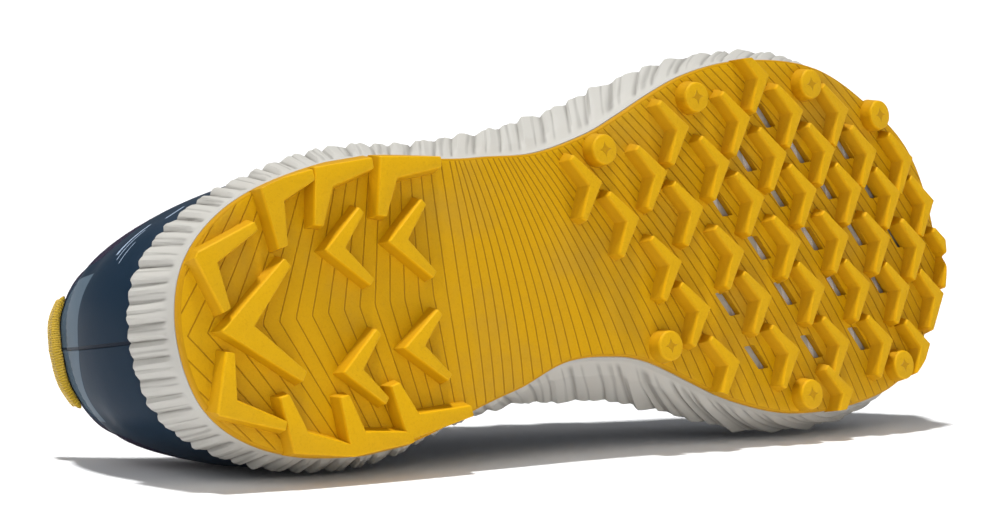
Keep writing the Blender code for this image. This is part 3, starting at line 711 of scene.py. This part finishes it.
def platePlace(u, v):
    keys = (0, 0.6, 0.62, 0.64, 0.66, 0.68, 0.92, 0.94, 0.96, 0.98, 1)
    bevel, low = 0.75 * mm, shoe["lugHeight"]
    outs = np.array((-1, -1, -0.3, 0, 0, -1, -1, 0, 0, -0.3, -1)) * bevel
    heights = (low, low, low + 0.3 * bevel, low + bevel, soleTop, soleTop, soleTop, soleTop, low + bevel,
               low + 0.3 * bevel, low)
    share = (np.interp(v, keys, (-1, 1, 1, 1, 1, 1, -1, -1, -1, -1, -1)) + 1) / 2
    out = np.interp(v, keys, outs)
    points = betweenEdges(u, share, (out, out), np.interp(v, keys, heights))
    land = np.where((v <= 0.6) | (v >= 1), 1.0, 0.0)
    return points, treadMaps(points, land)


def rubber():
    look = outsoleLook
    s = Surface("outsole", {"Roughness": look["roughness"], "Specular IOR Level": 0.13})
    place = s.objectPlace()
    phase, land = s.mapValues("tread")
    level, growth = s.mapValues("level")
    studX, studY = s.mapValues("stud")
    land = s.soft(land, 0.6, 1.0)
    # painted shade: the sipe lines are coloured darker as well as dented, and the studs' recessed crosses take half of
    # that tone
    shadedGroove = s.fall(s.away(phase) / growth, look["grooveWidth"] * 0.4, look["grooveWidth"] * 1.3) * land
    star = abs(studX) ** 0.55 + abs(studY) ** 0.55
    star = s.fall(star, 0.66, 0.80)
    grain = s.noise(place, 1500.0, 3.0, 0.65)
    cloud = s.noise(place, 34.0, 4.0, 0.6)
    speck = s.soft(s.noise(place, 420.0, 3.0, 0.7), 0.60, 0.74)
    # painted highlight: the lug faces and their bevelled edges are coloured lighter
    ground = s.fall(level, 0.25, 0.6)
    low = s.soft(level, 3.2, 4.6)
    # painted shade: the lug walls, and again their roots, are coloured darker with the side tone
    sides = s.soft(level, 0.5, 1.4) * s.soft(level, 3.6, 4.5, 1.0, 0.45) * (1.0 - land)
    root = s.soft(level, 3.0, 4.3) * (1.0 - land)
    dirt = s.soft(cloud, 0.45, 0.75) * (0.35 + 0.65 * low)
    colour = s.layers(
        look, "lug", (low, "land"), (dirt * 0.30, "dirt"), (speck * 0.10 * low, "dirt"), (ground * 0.08, "lugFaceHighlight"),
        (sides * 0.6, "side"), (root * 0.5, "side"), (s.soft(grain, 0.48, 0.72) * 0.22, "side"),
        (shadedGroove * 0.8, "shadedGroove"), (star * 0.5, "shadedGroove"))
    height = grain * 0.45 - shadedGroove * 1.4 - star * 1.2
    rough = look["roughness"] + (cloud - 0.5) * 0.2
    return s.use(colour=colour, roughness=rough, height=height, distance=0.25 * mm, strength=0.8)


def makeOutsole():
    plate = combined(sheet("plate", outsoleLook["columns"], 100, platePlace), makeWindows(), "DIFFERENCE")
    lugs = makeLugs()
    points = pointsOf(lugs)
    for layer in list(lugs.uv_layers):
        lugs.uv_layers.remove(layer)
    setMaps(lugs, treadMaps(points, np.zeros(len(points))))
    mesh = joined("outsole", [plate, lugs] + [makeStud(*stud) for stud in studs])
    addPiece("outsoleTread", mesh, rubber(), "outsole", 0.6)


def windowPlateLook():
    s = Surface("windowPlate", {"Roughness": 0.4})
    glitter = s.fall(s.cells(s.objectPlace(), 1600.0), 0.05, 0.4)
    colour = s.mixed(glitter, (0.70, 0.69, 0.71), (1.0, 1.0, 1.0))
    return s.use(colour=colour, height=glitter, distance=0.1 * mm)


# Midsole

midsoleLook = {
    "colour": (0.50, 0.487, 0.45),
    # painted shade: this darker tone fills the valleys of the folds
    "valleyShade": (0.20, 0.19, 0.17),
    "dust": (0.50, 0.46, 0.40),
    "roughness": 0.62,
    "ribs": 46,
    "columnsPerRib": 11,
    "ribDepth": 2.2 * mm,
    "crest": 0.36,
    "slant": 17 * mm,
    "pitch": 8 * mm,
}
ribRows = (
    (0.00, 0.62, 0.0), (0.10, 0.66, 0.2), (0.30, 0.85, 0.7), (0.50, 1.10, 1.0), (0.85, 1.10, 1.1), (1.00, 1.00, 0.0),
)
profileRows = ((0.00, 0.02, 0.0), (0.14, 0.09, 0.3), (0.34, 0.42, 0.7), (0.94, 1.00, 1.0), (1.00, 0.94, 0.7))


def ribTurns(side, ribs, share):
    turns = np.linspace(0, 1, 401)
    run = lengthAlong(soleEdge(side, turns))
    density = 1 / (midsoleLook["pitch"] * read(ribRows, 1, alongOf(turns)))
    counted = summed((density[1:] + density[:-1]) / 2 * np.diff(run))
    counted *= midsoleLook["ribs"] / counted[-1]
    base = np.interp(ribs, counted, turns)
    slant = midsoleLook["slant"] * read(ribRows, 2, alongOf(base)) * share
    slant = slant * (1 + (0.75 * soft(alongOf(base), 0.42, 0.60) if side == medial else 0))
    return np.interp(np.interp(base, turns, run) + slant, run, turns)


def pleat(ribs):
    phase = ribs - np.floor(ribs)
    crest = midsoleLook["crest"]
    return np.where(phase < crest, phase / crest, (1 - phase) / (1 - crest))


def midsolePlace(u, v):
    look = midsoleLook
    ledge = shoe["ledge"] + wall + gap
    keys = (0, 0.06, 0.44, 0.48, 0.50, 0.56, 0.58, 0.62, 1)
    share, inset, depth, across = (np.interp(v, keys, row) for row in (
        (0, 0, 1, 1, 1, 1, 1, 1, 0), (0, 0, 0, ledge, ledge + gap, ledge + gap, ledge, 0, 0),
        (0, 0, 0, 0, shoe["bedDepth"], shoe["bedDepth"], 0, 0, 0), (-1, 1, 1, 1, 1, -1, -1, -1, -1)))
    ribs = u * look["ribs"]
    loose = 0.13 * np.sin(ribs * 2.13) + 0.05 * np.sin(ribs * 5.7 + 3 * share)
    loose *= soft(u, 0, 0.03) * soft(u, 1, 0.97)
    fold, second = pleat(ribs + loose), pleat(ribs + 0.46 - loose)
    shares, flares, depths = zip(*profileRows)
    flareShare, ribShare = np.interp(share, shares, flares), np.interp(share, shares, depths)
    ribShare = ribShare * (1 - soft(inset, 0.2 * mm, 3 * mm)) * soft(share, 0.08, 0.28)
    sides = []
    for side in (lateral, medial):
        turn = ribTurns(side, ribs, share)
        place = alongOf(turn)
        if side == medial:  # shallow folds at the arch, deep double ones beside the ball
            doubled = 0.45 + 0.5 * soft(place, 0.5, 0.62)
            deep = 1 + 0.45 * soft(place, 0.55, 0.7) - 0.5 * soft(place, 0.36, 0.46) * soft(place, 0.6, 0.52)
        else:
            doubled = 0.45 + 0.1 * soft(place, 0.6, 0.8)
            deep = 1
        deep = deep * (0.88 + 0.30 * np.sin(np.floor(ribs) * 2.4))
        shape = 2 * np.minimum(fold ** 0.8, 1 - doubled * (1 - second ** 0.8)) - 1
        out = flare(side, turn) * flareShare + look["ribDepth"] / 2 * ribShare * shape * deep - inset
        placed = edgePoints(side, turn, out, 0)
        low = midsoleBase + lift(placed[:, 0])
        placed[:, 2] = low + (stackHeight(placed[:, 0]) - low) * share - depth
        sides.append(placed)
    points = sides[0] + (sides[1] - sides[0]) * ((across + 1) / 2)[:, None]
    return points, {"rib": (fold, share), "depth": (ribShare, second)}


def foam():
    look = midsoleLook
    s = Surface("midsole", {"Roughness": look["roughness"], "Specular IOR Level": 0.4})
    place = s.objectPlace()
    fold, share = s.mapValues("rib")
    amount, second = s.mapValues("depth")
    # painted shade: the valleys of the folds are coloured darker
    valleyShade = s.larger(s.fall(fold, 0.0, 0.30), s.soft(second, 0.0, 0.22, 0.7, 0.0))
    valleyShade = valleyShade * s.soft(amount, 0.02, 0.5)
    cloud = s.noise(place, 40.0, 4.0, 0.6)
    grain = s.noise(place, 1500.0)
    colour = s.layers(look, "colour", (s.soft(cloud, 0.45, 0.8) * 0.25, "dust"), (valleyShade * 0.7, "valleyShade"))
    height = grain * 0.3 + s.noise(place, 260.0) * 0.6
    return s.use(colour=colour, height=height, distance=0.12 * mm, strength=0.6)


def makeMidsole():
    columns = midsoleLook["ribs"] * midsoleLook["columnsPerRib"]
    mesh = sheet("midsole", columns, 100, midsolePlace)
    addPiece("midsoleFoam", mesh, foam(), "midsole", 0.4)


# Insole

insoleLook = {"thickness": 4.5 * mm, "colour": (0.045, 0.055, 0.075), "second": (0.08, 0.09, 0.12)}


def makeInsole():
    look = insoleLook
    inset = shoe["ledge"] + wall + 4 * gap

    def surface(u, w):
        points = betweenEdges(u, w, [flare(side, u) - inset for side in (lateral, medial)], 0)
        points[..., 2] = stackHeight(points[..., 0]) - shoe["bedDepth"] + gap + look["thickness"] / 2
        return points

    def maps(u, w):
        points = surface(u, w)
        return {"cloth": (points[:, 0] / mm, points[:, 1] / mm)}

    mesh = pillow("insole", 200, 60, surface, lambda u, w: look["thickness"], maps)
    s = Surface("insole", {"Roughness": 0.9, "Sheen Weight": 0.3})
    x, y = s.mapValues("cloth")
    fuzz = s.noise(s.objectPlace(), 900.0)
    colour = s.layers(look, "colour", (s.soft(fuzz, 0.3, 0.8), "second"))
    material = s.use(colour=colour, height=s.weave(x, y, 5.0) * 0.5 + fuzz, distance=0.15 * mm)
    addPiece("insoleSheet", mesh, material, "insole")


# Upper

upperLook = {
    "shell": (0.009, 0.023, 0.043),
    "mesh": (0.030, 0.050, 0.085),
    # painted shade: this near black fills the holes of the knit
    "meshHoleShade": (0.004, 0.007, 0.013),
    "crescent": (0.085, 0.125, 0.165),
    "band": (0.028, 0.022, 0.042),
    "bandThread": (0.075, 0.062, 0.098),
    "wear": (0.055, 0.075, 0.105),
    "bar": (0.34, 0.43, 0.56),
    "seam": (0.008, 0.011, 0.020),
    "thread": (0.050, 0.070, 0.110),
    "inside": (0.022, 0.024, 0.034),
    "crease": 1.35,
    "columns": 440,
    "rows": 100,
}
counterRows = ((0.00, 0.78), (0.10, 0.76), (0.18, 0.66), (0.25, 0.40), (0.30, 0.05), (0.33, -0.2))
guardRows = ((0.70, -0.2), (0.76, 0.04), (0.82, 0.27), (0.90, 0.40), (1.00, 0.43))
stayRows = ((0.38, 1.10), (0.41, 0.98), (0.43, 0.84), (0.60, 0.83), (0.75, 0.80), (0.90, 0.80), (1.00, 0.82))
# Soft troughs and ridges: two or three points in mm, half width and height in mm
creases = (
    (((206, -41, 44), (211, -15, 63), (214, 8, 66)), 3.4, -1.3),
    (((214, -42, 42), (219, -14, 60), (222, 12, 63)), 3.2, 0.8),
    (((224, -40, 41), (228, -12, 57), (231, 16, 59)), 3.4, -1.1),
    (((204, 44, 46), (210, 30, 58), (214, 10, 66)), 3.4, -1.2),
    (((216, 47, 44), (221, 32, 55), (224, 12, 61)), 3.6, -0.9),
    (((196, -40, 50), (201, -30, 60)), 3.0, -0.9),
    (((60, 36, 45), (72, 38, 62)), 4.5, -0.8),
    (((78, 38, 42), (90, 38, 58)), 5.0, -0.9),
    (((62, -35, 46), (74, -36, 62)), 4.5, -0.8),
    (((84, -37, 42), (96, -37, 56)), 5.0, -0.9),
    (((12, -22, 60), (26, -30, 42)), 5.0, -0.5),
    (((10, 20, 62), (26, 29, 44)), 5.0, -0.5),
)


def creaseHeight(points):
    total = np.zeros(len(points))
    for line, width, height in creases:
        nearest = np.full(len(points), 1e9)
        for start, end in zip(line, line[1:]):
            start, end = np.array(start) * mm, np.array(end) * mm
            run = end - start
            t = np.clip((points - start) @ run / (run @ run), 0, 1)
            away = np.linalg.norm(points - start - t[:, None] * run, axis=1)
            nearest = np.minimum(nearest, away)
        total += upperLook["crease"] * height * mm * np.exp(-(nearest / (width * mm)) ** 2)
    return total


def overlayAmount(turn, share):
    edge = 0.012
    counter = soft(read(counterRows, 1, turn) - share, -edge, edge)
    guard = soft(read(guardRows, 1, turn) - share, -edge, edge)
    stay = soft(share - read(stayRows, 1, turn), -edge, edge)
    return np.maximum(np.maximum(counter, guard), stay)


# Plain reflective bars on the lateral heel: share, half width, the same with its soft edge, first and last turn
barRows = (
    (0.385, 0.008, 0.011, 0.110, 0.162), (0.345, 0.003, 0.005, 0.102, 0.150), (0.300, 0.002, 0.004, 0.096, 0.128),
    (0.290, 0.010, 0.013, 0.172, 0.196),
)
# Edge of the textile collar band: turn, share
collarRows = (
    (0.0, 0.975), (0.085, 0.97), (0.10, 0.92), (0.114, 0.62), (0.15, 0.53), (0.2, 0.57), (0.28, 0.68), (0.36, 0.84),
    (0.40, 0.99),
)
# Thin bands from the eyelets down to the midsole: turn at the top and at the foot
cageBands = ((0.47, 0.36), (0.52, 0.44), (0.57, 0.52), (0.62, 0.60), (0.67, 0.68))


def armLength(turn):
    turns = np.linspace(0, 1, 801)
    return np.interp(turn, turns, lengthAlong(lastPoints(lateral, turns, 0.5))) / mm


def upperPlace(u, v):
    side, turn = sideTurn(u)
    # outer face, roll over the edge, inner face, and back under the foot
    top, rolled, foot = 0.70, 0.76, 0.98
    share = np.interp(v, (0, top, rolled, foot, 1), (0, 1, 1, 0, 0))
    roll = np.clip((v - top) / 0.06, 0, 1)
    under = np.clip((v - foot) / 0.02, 0, 1)
    outside = overlay * overlayAmount(turn, share) * np.where(v <= top, 1, 1 - soft(v, top, 0.72))
    out = np.where(v <= top, 0, -wall * (1 - np.cos(pi * roll)) / 2)
    base = lastPoints(side, turn, share)
    folds = creaseHeight(base) * soft(share, 0.05, 0.2) * soft(share, 0.98, 0.9)
    out = out + outside + folds * np.where(v <= top, 1.0, 0.0)
    out = np.where(v > foot, -wall * (1 - under) + overlay * overlayAmount(turn, 0) * under, out)
    points = base + out[:, None] * surfaceNormal(side, turn, share)
    rise = unit(lastPoints(side, turn, 1) - lastPoints(side, turn, 0.97))
    points += rise * (wall * 0.55 * np.sin(pi * roll))[:, None]
    path = np.where(v <= top, share, np.where(v < rolled, 1 + roll * 0.1, 2.1 - share))
    path = np.where(v > foot, 2.1 * (1 - under), path)
    centres = [surfacePoint(each, t, eyeletShare, overlay) for t in eyeletTurns for each in (lateral, medial)]
    nearest = np.min([np.linalg.norm(points - centre, axis=1) for centre in centres], axis=0) / mm
    maps = {
        "marks": (turn, path),
        "cloth": (armLength(turn), share * 78),
        "extra": (np.clip(base[:, 1] / (6 * mm), -1, 1), np.minimum(nearest, 20)),
    }
    return points, maps


def shell():
    look = upperLook
    s = Surface("upper", {"Roughness": 0.42, "Specular IOR Level": 0.06, "Coat Roughness": 0.22})
    turn, path = s.mapValues("marks")
    along, high = s.mapValues("cloth")
    sided, eyelet = s.mapValues("extra")
    medialShare = s.soft(sided, -0.6, 0.6)
    inside = s.soft(path, 1.03, 1.07)
    outside = 1.0 - inside
    cage = 0.0
    for top, foot in cageBands:
        away = abs(turn - foot - (top - foot) * path)
        cage = s.larger(cage, s.fall(away, 0.0045, 0.0060))

    counterEdge = s.curve(turn, [(t, h * 0.5 + 0.5) for t, h in counterRows], 0.0, 0.33) * 2.0 - 1.0
    guardEdge = s.curve(turn, [(t, h * 0.5 + 0.5) for t, h in guardRows], 0.70, 1.0) * 2.0 - 1.0
    stayEdge = s.curve(turn, [(t, h * 0.5) for t, h in stayRows], 0.38, 1.0) * 2.0
    counter = s.past(counterEdge - path, 0.006) * s.fall(turn, 0.331, 0.333)
    guard = s.past(guardEdge - path, 0.006) * s.soft(turn, 0.698, 0.70)
    stay = s.past(path - stayEdge, 0.006) * s.soft(turn, 0.378, 0.38)
    panel = s.larger(s.larger(counter, guard), stay)
    cage = cage * (1.0 - panel) * outside
    panel = s.larger(panel, cage)

    bandEdge = s.curve(turn, collarRows, 0.0, 0.40)
    band = s.past(path - bandEdge, 0.004) * s.fall(turn, 0.395, 0.40)
    # heel panel between its curved lower edge and the collar
    reach = turn / 0.09
    lateralEdge = 0.575 - reach * reach * 0.035
    medialEdge = 0.675 - (1.0 - reach) * (1.0 - reach) * 0.10
    lower = lateralEdge + (medialEdge - lateralEdge) * medialShare
    outer = 0.091 - 0.028 * s.soft(path, 0.84, 1.0)
    crescent = s.past(path - lower, 0.004) * s.past(outer - turn, 0.001) * s.fall(path, 0.955, 0.965)
    bars = 0.0
    for middle, width, outerWidth, start, end in barRows:
        bar = s.fall(abs(path - middle), width, outerWidth)
        bar = bar * s.soft(turn, start, start + 0.003) * s.fall(turn, end, end + 0.003)
        bars = s.larger(bars, bar)
    bars = bars * (1.0 - medialShare)
    seam = s.fall(along, 0.25, 0.6) * s.fall(path, 0.97, 0.99)

    # knitted ground between the panels
    # painted shade: the knit's holes are coloured near black as well as dented
    holes = s.soft(s.weave(along, high, 2.6), 0.30, 0.60)
    knit = s.weave(along, high, 7.8)
    ground = (1.0 - panel) * (1.0 - band) * outside
    stitch = 0.0
    for place, amount in ((counterEdge - 0.022, counter), (stayEdge + 0.024, stay), (bandEdge + 0.02, band)):
        stitch = s.larger(stitch, s.fall(abs(path - place), 0.004, 0.008) * amount)
    stitch = stitch * s.soft(s.away(along * 0.42), 0.24, 0.29)
    ring = s.soft(eyelet, 2.9, 3.3) * s.fall(eyelet, 3.9, 4.3) * stay

    cloud = s.noise(s.objectPlace(), 30.0, 4.0, 0.6)
    fine = s.noise(s.objectPlace(), 900.0)
    weave = s.weave(along, high, 7.0)
    colour = s.layers(
        look, "mesh", (panel, "shell"), (holes * ground * 0.85, "meshHoleShade"), (band, "band"),
        (band * s.soft(weave, 0.0, 0.8) * 0.5, "bandThread"), (crescent, "crescent"), (bars, "bar"),
        (s.soft(cloud, 0.45, 0.8) * 0.30 * panel, "wear"), (seam * 0.8, "seam"), (stitch * 0.8, "thread"),
        (inside, "inside"))
    rough = 0.36 + 0.14 * cloud + 0.40 * ground + 0.40 * band * outside + 0.4 * inside - 0.1 * bars
    coat = 0.04 * panel * (1.0 - band) * outside
    height = fine * 0.06 + cloud * 0.5 + cage * 0.9 - holes * ground * 0.9 + knit * ground * 0.35
    height = height + weave * band * 0.35 + crescent * 0.35 - seam * 1.6 + stitch * 0.9
    height = height + ring * 0.8 + bars * 0.2 + band * 0.8 + weave * inside * 0.2
    return s.use(colour=colour, roughness=rough, height=height, distance=0.35 * mm, strength=0.8,
                 **{"Coat Weight": coat})


def makeUpper():
    mesh = sheet("upper", upperLook["columns"], upperLook["rows"], upperPlace)
    holes = bmesh.new()
    for turn in eyeletTurns:
        for side in (lateral, medial):
            low = Vector(surfacePoint(side, turn, eyeletShare, -2 * wall))
            high = Vector(surfacePoint(side, turn, eyeletShare, wall + 2 * overlay))
            turned = (high - low).to_track_quat("Z", "Y").to_matrix().to_4x4()
            bmesh.ops.create_cone(holes, cap_ends=True, segments=20, radius1=eyeletRadius, radius2=eyeletRadius,
                                  depth=(high - low).length, matrix=Matrix.Translation((low + high) / 2) @ turned)
    mesh = combined(mesh, meshOf(holes, "eyelets"), "DIFFERENCE")
    addPiece("upperShell", mesh, shell(), "upper", 0.9)


# Collar lining, tongue, heel tab

liningLook = {"thickness": 4.5 * mm, "turns": 0.39, "shares": (0.50, 0.975), "colour": (0.040, 0.032, 0.058),
              "second": (0.085, 0.072, 0.115)}


def makeLining():
    look = liningLook
    low, high = look["shares"]

    def surface(u, w):
        out = -wall - 2 * gap - look["thickness"] / 2
        return surfacePoints(*sideTurn(u, look["turns"]), low + (high - low) * w, out)

    def thickness(u, w):
        return look["thickness"] * (0.72 + 0.28 * np.sin(pi * w))

    def maps(u, w):
        return {"cloth": ((2 * u - 1) * 120, w * 38)}

    mesh = pillow("lining", 260, 60, surface, thickness, maps, 6)
    s = Surface("lining", {"Roughness": 0.88, "Sheen Weight": 0.25, "Specular IOR Level": 0.3})
    weave, fuzz, second = s.woven(*s.mapValues("cloth"), 6.5, 1200.0)
    colour = s.layers(look, "colour", (second, "second"))
    material = s.use(colour=colour, height=weave * 0.6 + fuzz * 0.5, distance=0.2 * mm, strength=0.8)
    addPiece("collarPad", mesh, material, "collar_lining")


tongueLook = {"thickness": 4 * mm, "rise": 13 * mm, "crown": 0.08, "colour": (0.028, 0.044, 0.074),
              # the near black tone for the holes of the tongue's mesh is painted shade
              "second": (0.06, 0.085, 0.13), "holeShade": (0.008, 0.012, 0.02), "binding": (0.02, 0.028, 0.045)}
tongueTurns = (0.46, 0.5, 0.54, 0.58, 0.62, 0.66, 0.7, 0.74)
tongueShares = (0.83, 0.93, 1.0)
tongueEnds = ((0.45, 0.86, 0.85), (1.00, 0.72, 0.55))
tongueFront = (
    ((0.78, 0.88), (0.85, 0.95), (0.92, 1.0), (1.0, 1.0)),
    ((0.8, 0.84), (0.87, 0.86), (0.94, 0.87), (1.0, 0.88)),
)


def tongueNet():
    under = -wall - 3 * gap

    def row(places, middle=None):
        sides = [[surfacePoint(side, turn, share, under) for turn, share in places] for side in (lateral, medial)]
        if middle is None:
            span = np.linalg.norm(sides[0][-1] - sides[1][-1])
            crown = np.array((0, 0, tongueLook["crown"] * span ** 2 / shoe["collarWidth"]))
            middle = (sides[0][-1] + sides[1][-1]) / 2 + crown
        return np.array(sides[0] + [middle] + sides[1][::-1])

    rows = [row([(turn, share) for share in tongueShares]) for turn in tongueTurns]
    for *places, (turn, share) in tongueFront:
        rows.append(row(places, surfacePoint(lateral, turn, share, under)))
    first = rows[0]
    root = first[3]
    back = root - rows[1][3]
    back *= tongueLook["rise"] / np.linalg.norm(back)
    for rise, width, drop in tongueEnds:
        rows.insert(0, root + back * rise + (first - root) * np.array((width, width, drop)))
    return np.array(rows)


def makeTongue():
    look = tongueLook
    net = tongueNet()
    normal = unit(np.cross(np.gradient(net, axis=0), np.gradient(net, axis=1)))
    net = net - normal * look["thickness"] / 2 * np.sign(normal[4, 3, 2])

    def surface(u, w):
        return netPoints(net, u, w)

    def thickness(u, w):
        return look["thickness"] * (0.75 + 0.25 * np.sin(pi * w))

    def maps(u, w):
        return {"cloth": (u * 130, (w - 0.5) * 60), "edge": (u, w)}

    mesh = pillow("tongue", 150, 70, surface, thickness, maps, 10)
    s = Surface("tongue", {"Roughness": 0.8, "Sheen Weight": 0.2, "Specular IOR Level": 0.3})
    along, across = s.mapValues("cloth")
    u, w = s.mapValues("edge")
    binding = s.larger(s.fall(u, 0.045, 0.055), s.soft(abs(w - 0.5), 0.455, 0.465))
    weave, fuzz, second = s.woven(along, across, 5.0, 1100.0)
    # painted shade: the mesh holes are coloured near black as well as dented
    holes = s.fall(s.cells(s.combine(along, across), 0.9), 0.15, 0.3) * (1.0 - binding)
    colour = s.layers(look, "colour", (second, "second"), (holes * 0.7, "holeShade"), (binding, "binding"))
    height = weave * 0.4 + fuzz * 0.3 - holes * 0.8 + binding * 1.2
    material = s.use(colour=colour, height=height, distance=0.3 * mm, strength=0.8)
    addPiece("tonguePad", mesh, material, "tongue")


tabLook = {"thickness": 3 * mm, "turns": 0.08, "low": 0.93, "top": 0.88, "rise": 2.5 * mm, "cord": 0.85,
           "colour": (0.86, 0.56, 0.015), "shade": (0.58, 0.34, 0.01)}


def makeTab():
    look = tabLook

    def surface(u, w):
        share = np.minimum(look["low"] + (1 - look["low"]) * w / look["top"], 1)
        points = surfacePoints(*sideTurn(u, look["turns"]), share, 0.7 * gap + thickness(u, w) / 2)
        points[..., 2] += look["rise"] * np.clip((w - look["top"]) / (1 - look["top"]), 0, 1)
        return points

    def thickness(u, w):
        return look["thickness"] * (1 - 0.4 * (2 * u - 1) ** 2)

    def maps(u, w):
        return {"cloth": (armLength(np.abs(2 * u - 1) * look["turns"]), w * 20)}

    mesh = pillow("tab", 160, 48, surface, thickness, maps, 8)
    s = Surface("heelTab", {"Roughness": 0.7, "Sheen Weight": 0.15})
    x, y = s.mapValues("cloth")
    cord = s.fall(s.away(x / look["cord"]), 0.10, 0.40)
    twist = s.wave(y * 9.0 + x * 4.0)
    colour = s.layers(look, "colour", (cord * 0.75, "shade"))
    material = s.use(colour=colour, height=1.0 - cord + twist * 0.12, distance=0.4 * mm)
    addPiece("pullTab", mesh, material, "heel_tab")


# Lace

laceLook = {"width": 5.5 * mm, "holeWidth": 3.5 * mm, "thickness": 1.3 * mm, "rise": 2.5 * mm, "over": 1.9 * mm,
            "colour": (0.58, 0.57, 0.53), "shade": (0.30, 0.29, 0.27)}


# Fuller than a circle: a power of the size that keeps the sign
def squared(value, power):
    return np.sign(value) * np.abs(value) ** power


def ribbon(start, end, rise):
    look = laceLook

    def at(spot, out):
        side, turn = spot
        return surfacePoint(side, turn, eyeletShare, out)

    first, last = at(start, overlay), at(end, overlay)
    run = last - first
    ways = [unit(at(spot, mm) - at(spot, 0)) for spot in (start, end)]
    length = np.linalg.norm(run)
    over = look["over"]
    path = np.array((
        at(start, -wall - 1.2 * mm), first, first + ways[0] * over * 0.8 + run * (1.6 * mm / length),
        first + ways[0] * over * 1.25 + run * 0.16, first + run * 0.5 + (ways[0] + ways[1]) / 2 * over + (0, 0, rise),
        last + ways[1] * over * 1.25 - run * 0.16, last + ways[1] * over * 0.8 - run * (1.6 * mm / length), last,
        at(end, -wall - 1.2 * mm)))
    net = path[:, None, :].repeat(2, axis=1)

    def centre(u):
        return netPoints(net, np.clip(u, 0, 1), np.zeros_like(u))

    def place(u, v):
        tangent = unit(centre(u + 0.004) - centre(u - 0.004))
        normal = unit(ways[0] * (1 - u[:, None]) + ways[1] * u[:, None])
        across = unit(np.cross(normal, np.broadcast_to(unit(run), normal.shape)))
        up = unit(np.cross(tangent, across))
        ends = soft(np.minimum(u, 1 - u), 0.10, 0.30)
        width = look["holeWidth"] + (look["width"] - look["holeWidth"]) * ends
        angle = 2 * pi * v
        close = np.sqrt(np.clip(1 - np.abs(2 * u - 1) ** 60, 0, 1))
        flat = squared(np.cos(angle), 0.45) * width / 2 * close
        thick = squared(np.sin(angle), 0.7) * look["thickness"] / 2 * close
        points = centre(u) + across * flat[:, None] + up * thick[:, None]
        return points, {"weave": (u * length / mm * 1.25, flat / mm)}

    return sheet("ribbon", 90, 16, place)


def makeLace():
    look = laceLook
    last = len(eyeletTurns) - 1
    meshes = [ribbon((lateral, eyeletTurns[last]), (medial, eyeletTurns[last]), look["rise"])]
    for k in range(last):
        for side in (lateral, medial):
            rise = look["rise"] + (0 if side == lateral else 1.5 * mm)
            meshes.append(ribbon((side, eyeletTurns[k]), (-side, eyeletTurns[k + 1]), rise))
    s = Surface("lace", {"Roughness": 0.85, "Sheen Weight": 0.2})
    along, across = s.mapValues("weave")
    rib = s.wave(along * 7.5 + abs(across) * 4.5)
    fuzz = s.noise(s.objectPlace(), 1500.0)
    colour = s.layers(look, "colour", (s.fall(rib, -0.9, 0.3) * 0.7, "shade"))
    material = s.use(colour=colour, height=rib * 0.6 + fuzz * 0.4, distance=0.25 * mm)
    addPiece("laceRibbon", joined("lace", meshes), material, "lace")


# Camera, floor and light

studio = {
    "cameraPlace": (-0.83331, -1.05603, 0.17391),
    "cameraRight": (0.78063, -0.62479, 0.01577),
    "cameraUp": (0.04417, 0.08032, 0.99579),
    "cameraBack": (-0.62343, -0.77665, 0.09030),
    "lens": 161.08,
    "shift": (-0.0555, 0.0069),
    "floor": (0.93, 0.93, 0.94),
    "world": 0.27,
    "horizon": 0.94,
    "strip": (0.035, 0.10),
    "sun": 3.3,
    "front": 11,
}


def addLight(name, kind, place, target):
    light = bpy.data.lights.new(name, kind)
    light.energy = studio[name]
    lamp = linked(name, light)
    lamp.location = place
    lamp.rotation_euler = (Vector(target) - Vector(place)).to_track_quat("-Z", "Y").to_euler()
    return light


def addStudio():
    scene = bpy.context.scene
    scene.view_settings.view_transform = "Standard"
    camera = linked("camera", bpy.data.cameras.new("camera"))
    axes = Matrix([studio[key] for key in ("cameraRight", "cameraUp", "cameraBack")]).transposed()
    camera.matrix_world = Matrix.Translation(studio["cameraPlace"]) @ axes.to_4x4()
    camera.data.lens = studio["lens"]
    camera.data.shift_x, camera.data.shift_y = studio["shift"]
    camera.data.clip_start = 0.05
    scene.camera = camera
    shape = bmesh.new()
    bmesh.ops.create_grid(shape, x_segments=1, y_segments=1, size=12)
    bmesh.ops.translate(shape, verts=shape.verts, vec=(0, 0, -0.0003))
    mesh = meshOf(shape, "floor")
    s = Surface("floor", {"Base Color": (*studio["floor"], 1), "Roughness": 0.9, "Specular IOR Level": 0.1})
    mesh.materials.append(s.material)
    linked("floor", mesh)
    # a pale strip at the horizon under a dimmer ceiling
    world = bpy.data.worlds.new("studio")
    s = Surface("studio", {"Strength": 1.0}, world, "Background")
    way = s.node("ShaderNodeTexCoord", {}, {}, "Generated")
    high = s.node("ShaderNodeSeparateXYZ", {}, {0: way}, "Z")
    s.use(Color=s.mixed(s.soft(high, *studio["strip"]), (studio["horizon"],) * 3, (studio["world"],) * 3))
    scene.world = world
    addLight("sun", "SUN", (0, 0, 0), (0.06, -0.02, -1)).angle = 0.10
    addLight("front", "AREA", (-1.6, -1.1, 1.3), (0, 0, 0.05)).size = 1.4
    print("camera, floor and lights placed")


def findNode(name):
    return next(item for item in bpy.data.objects if item.name == name or item.name.startswith(name + "."))


addStudio()
makeOutsole()
plateNode = findNode("window_plate")
plateNode.data.materials.clear()
plateNode.data.materials.append(windowPlateLook())
makeMidsole()
makeInsole()
makeUpper()
makeLining()
makeTongue()
makeTab()
makeLace()
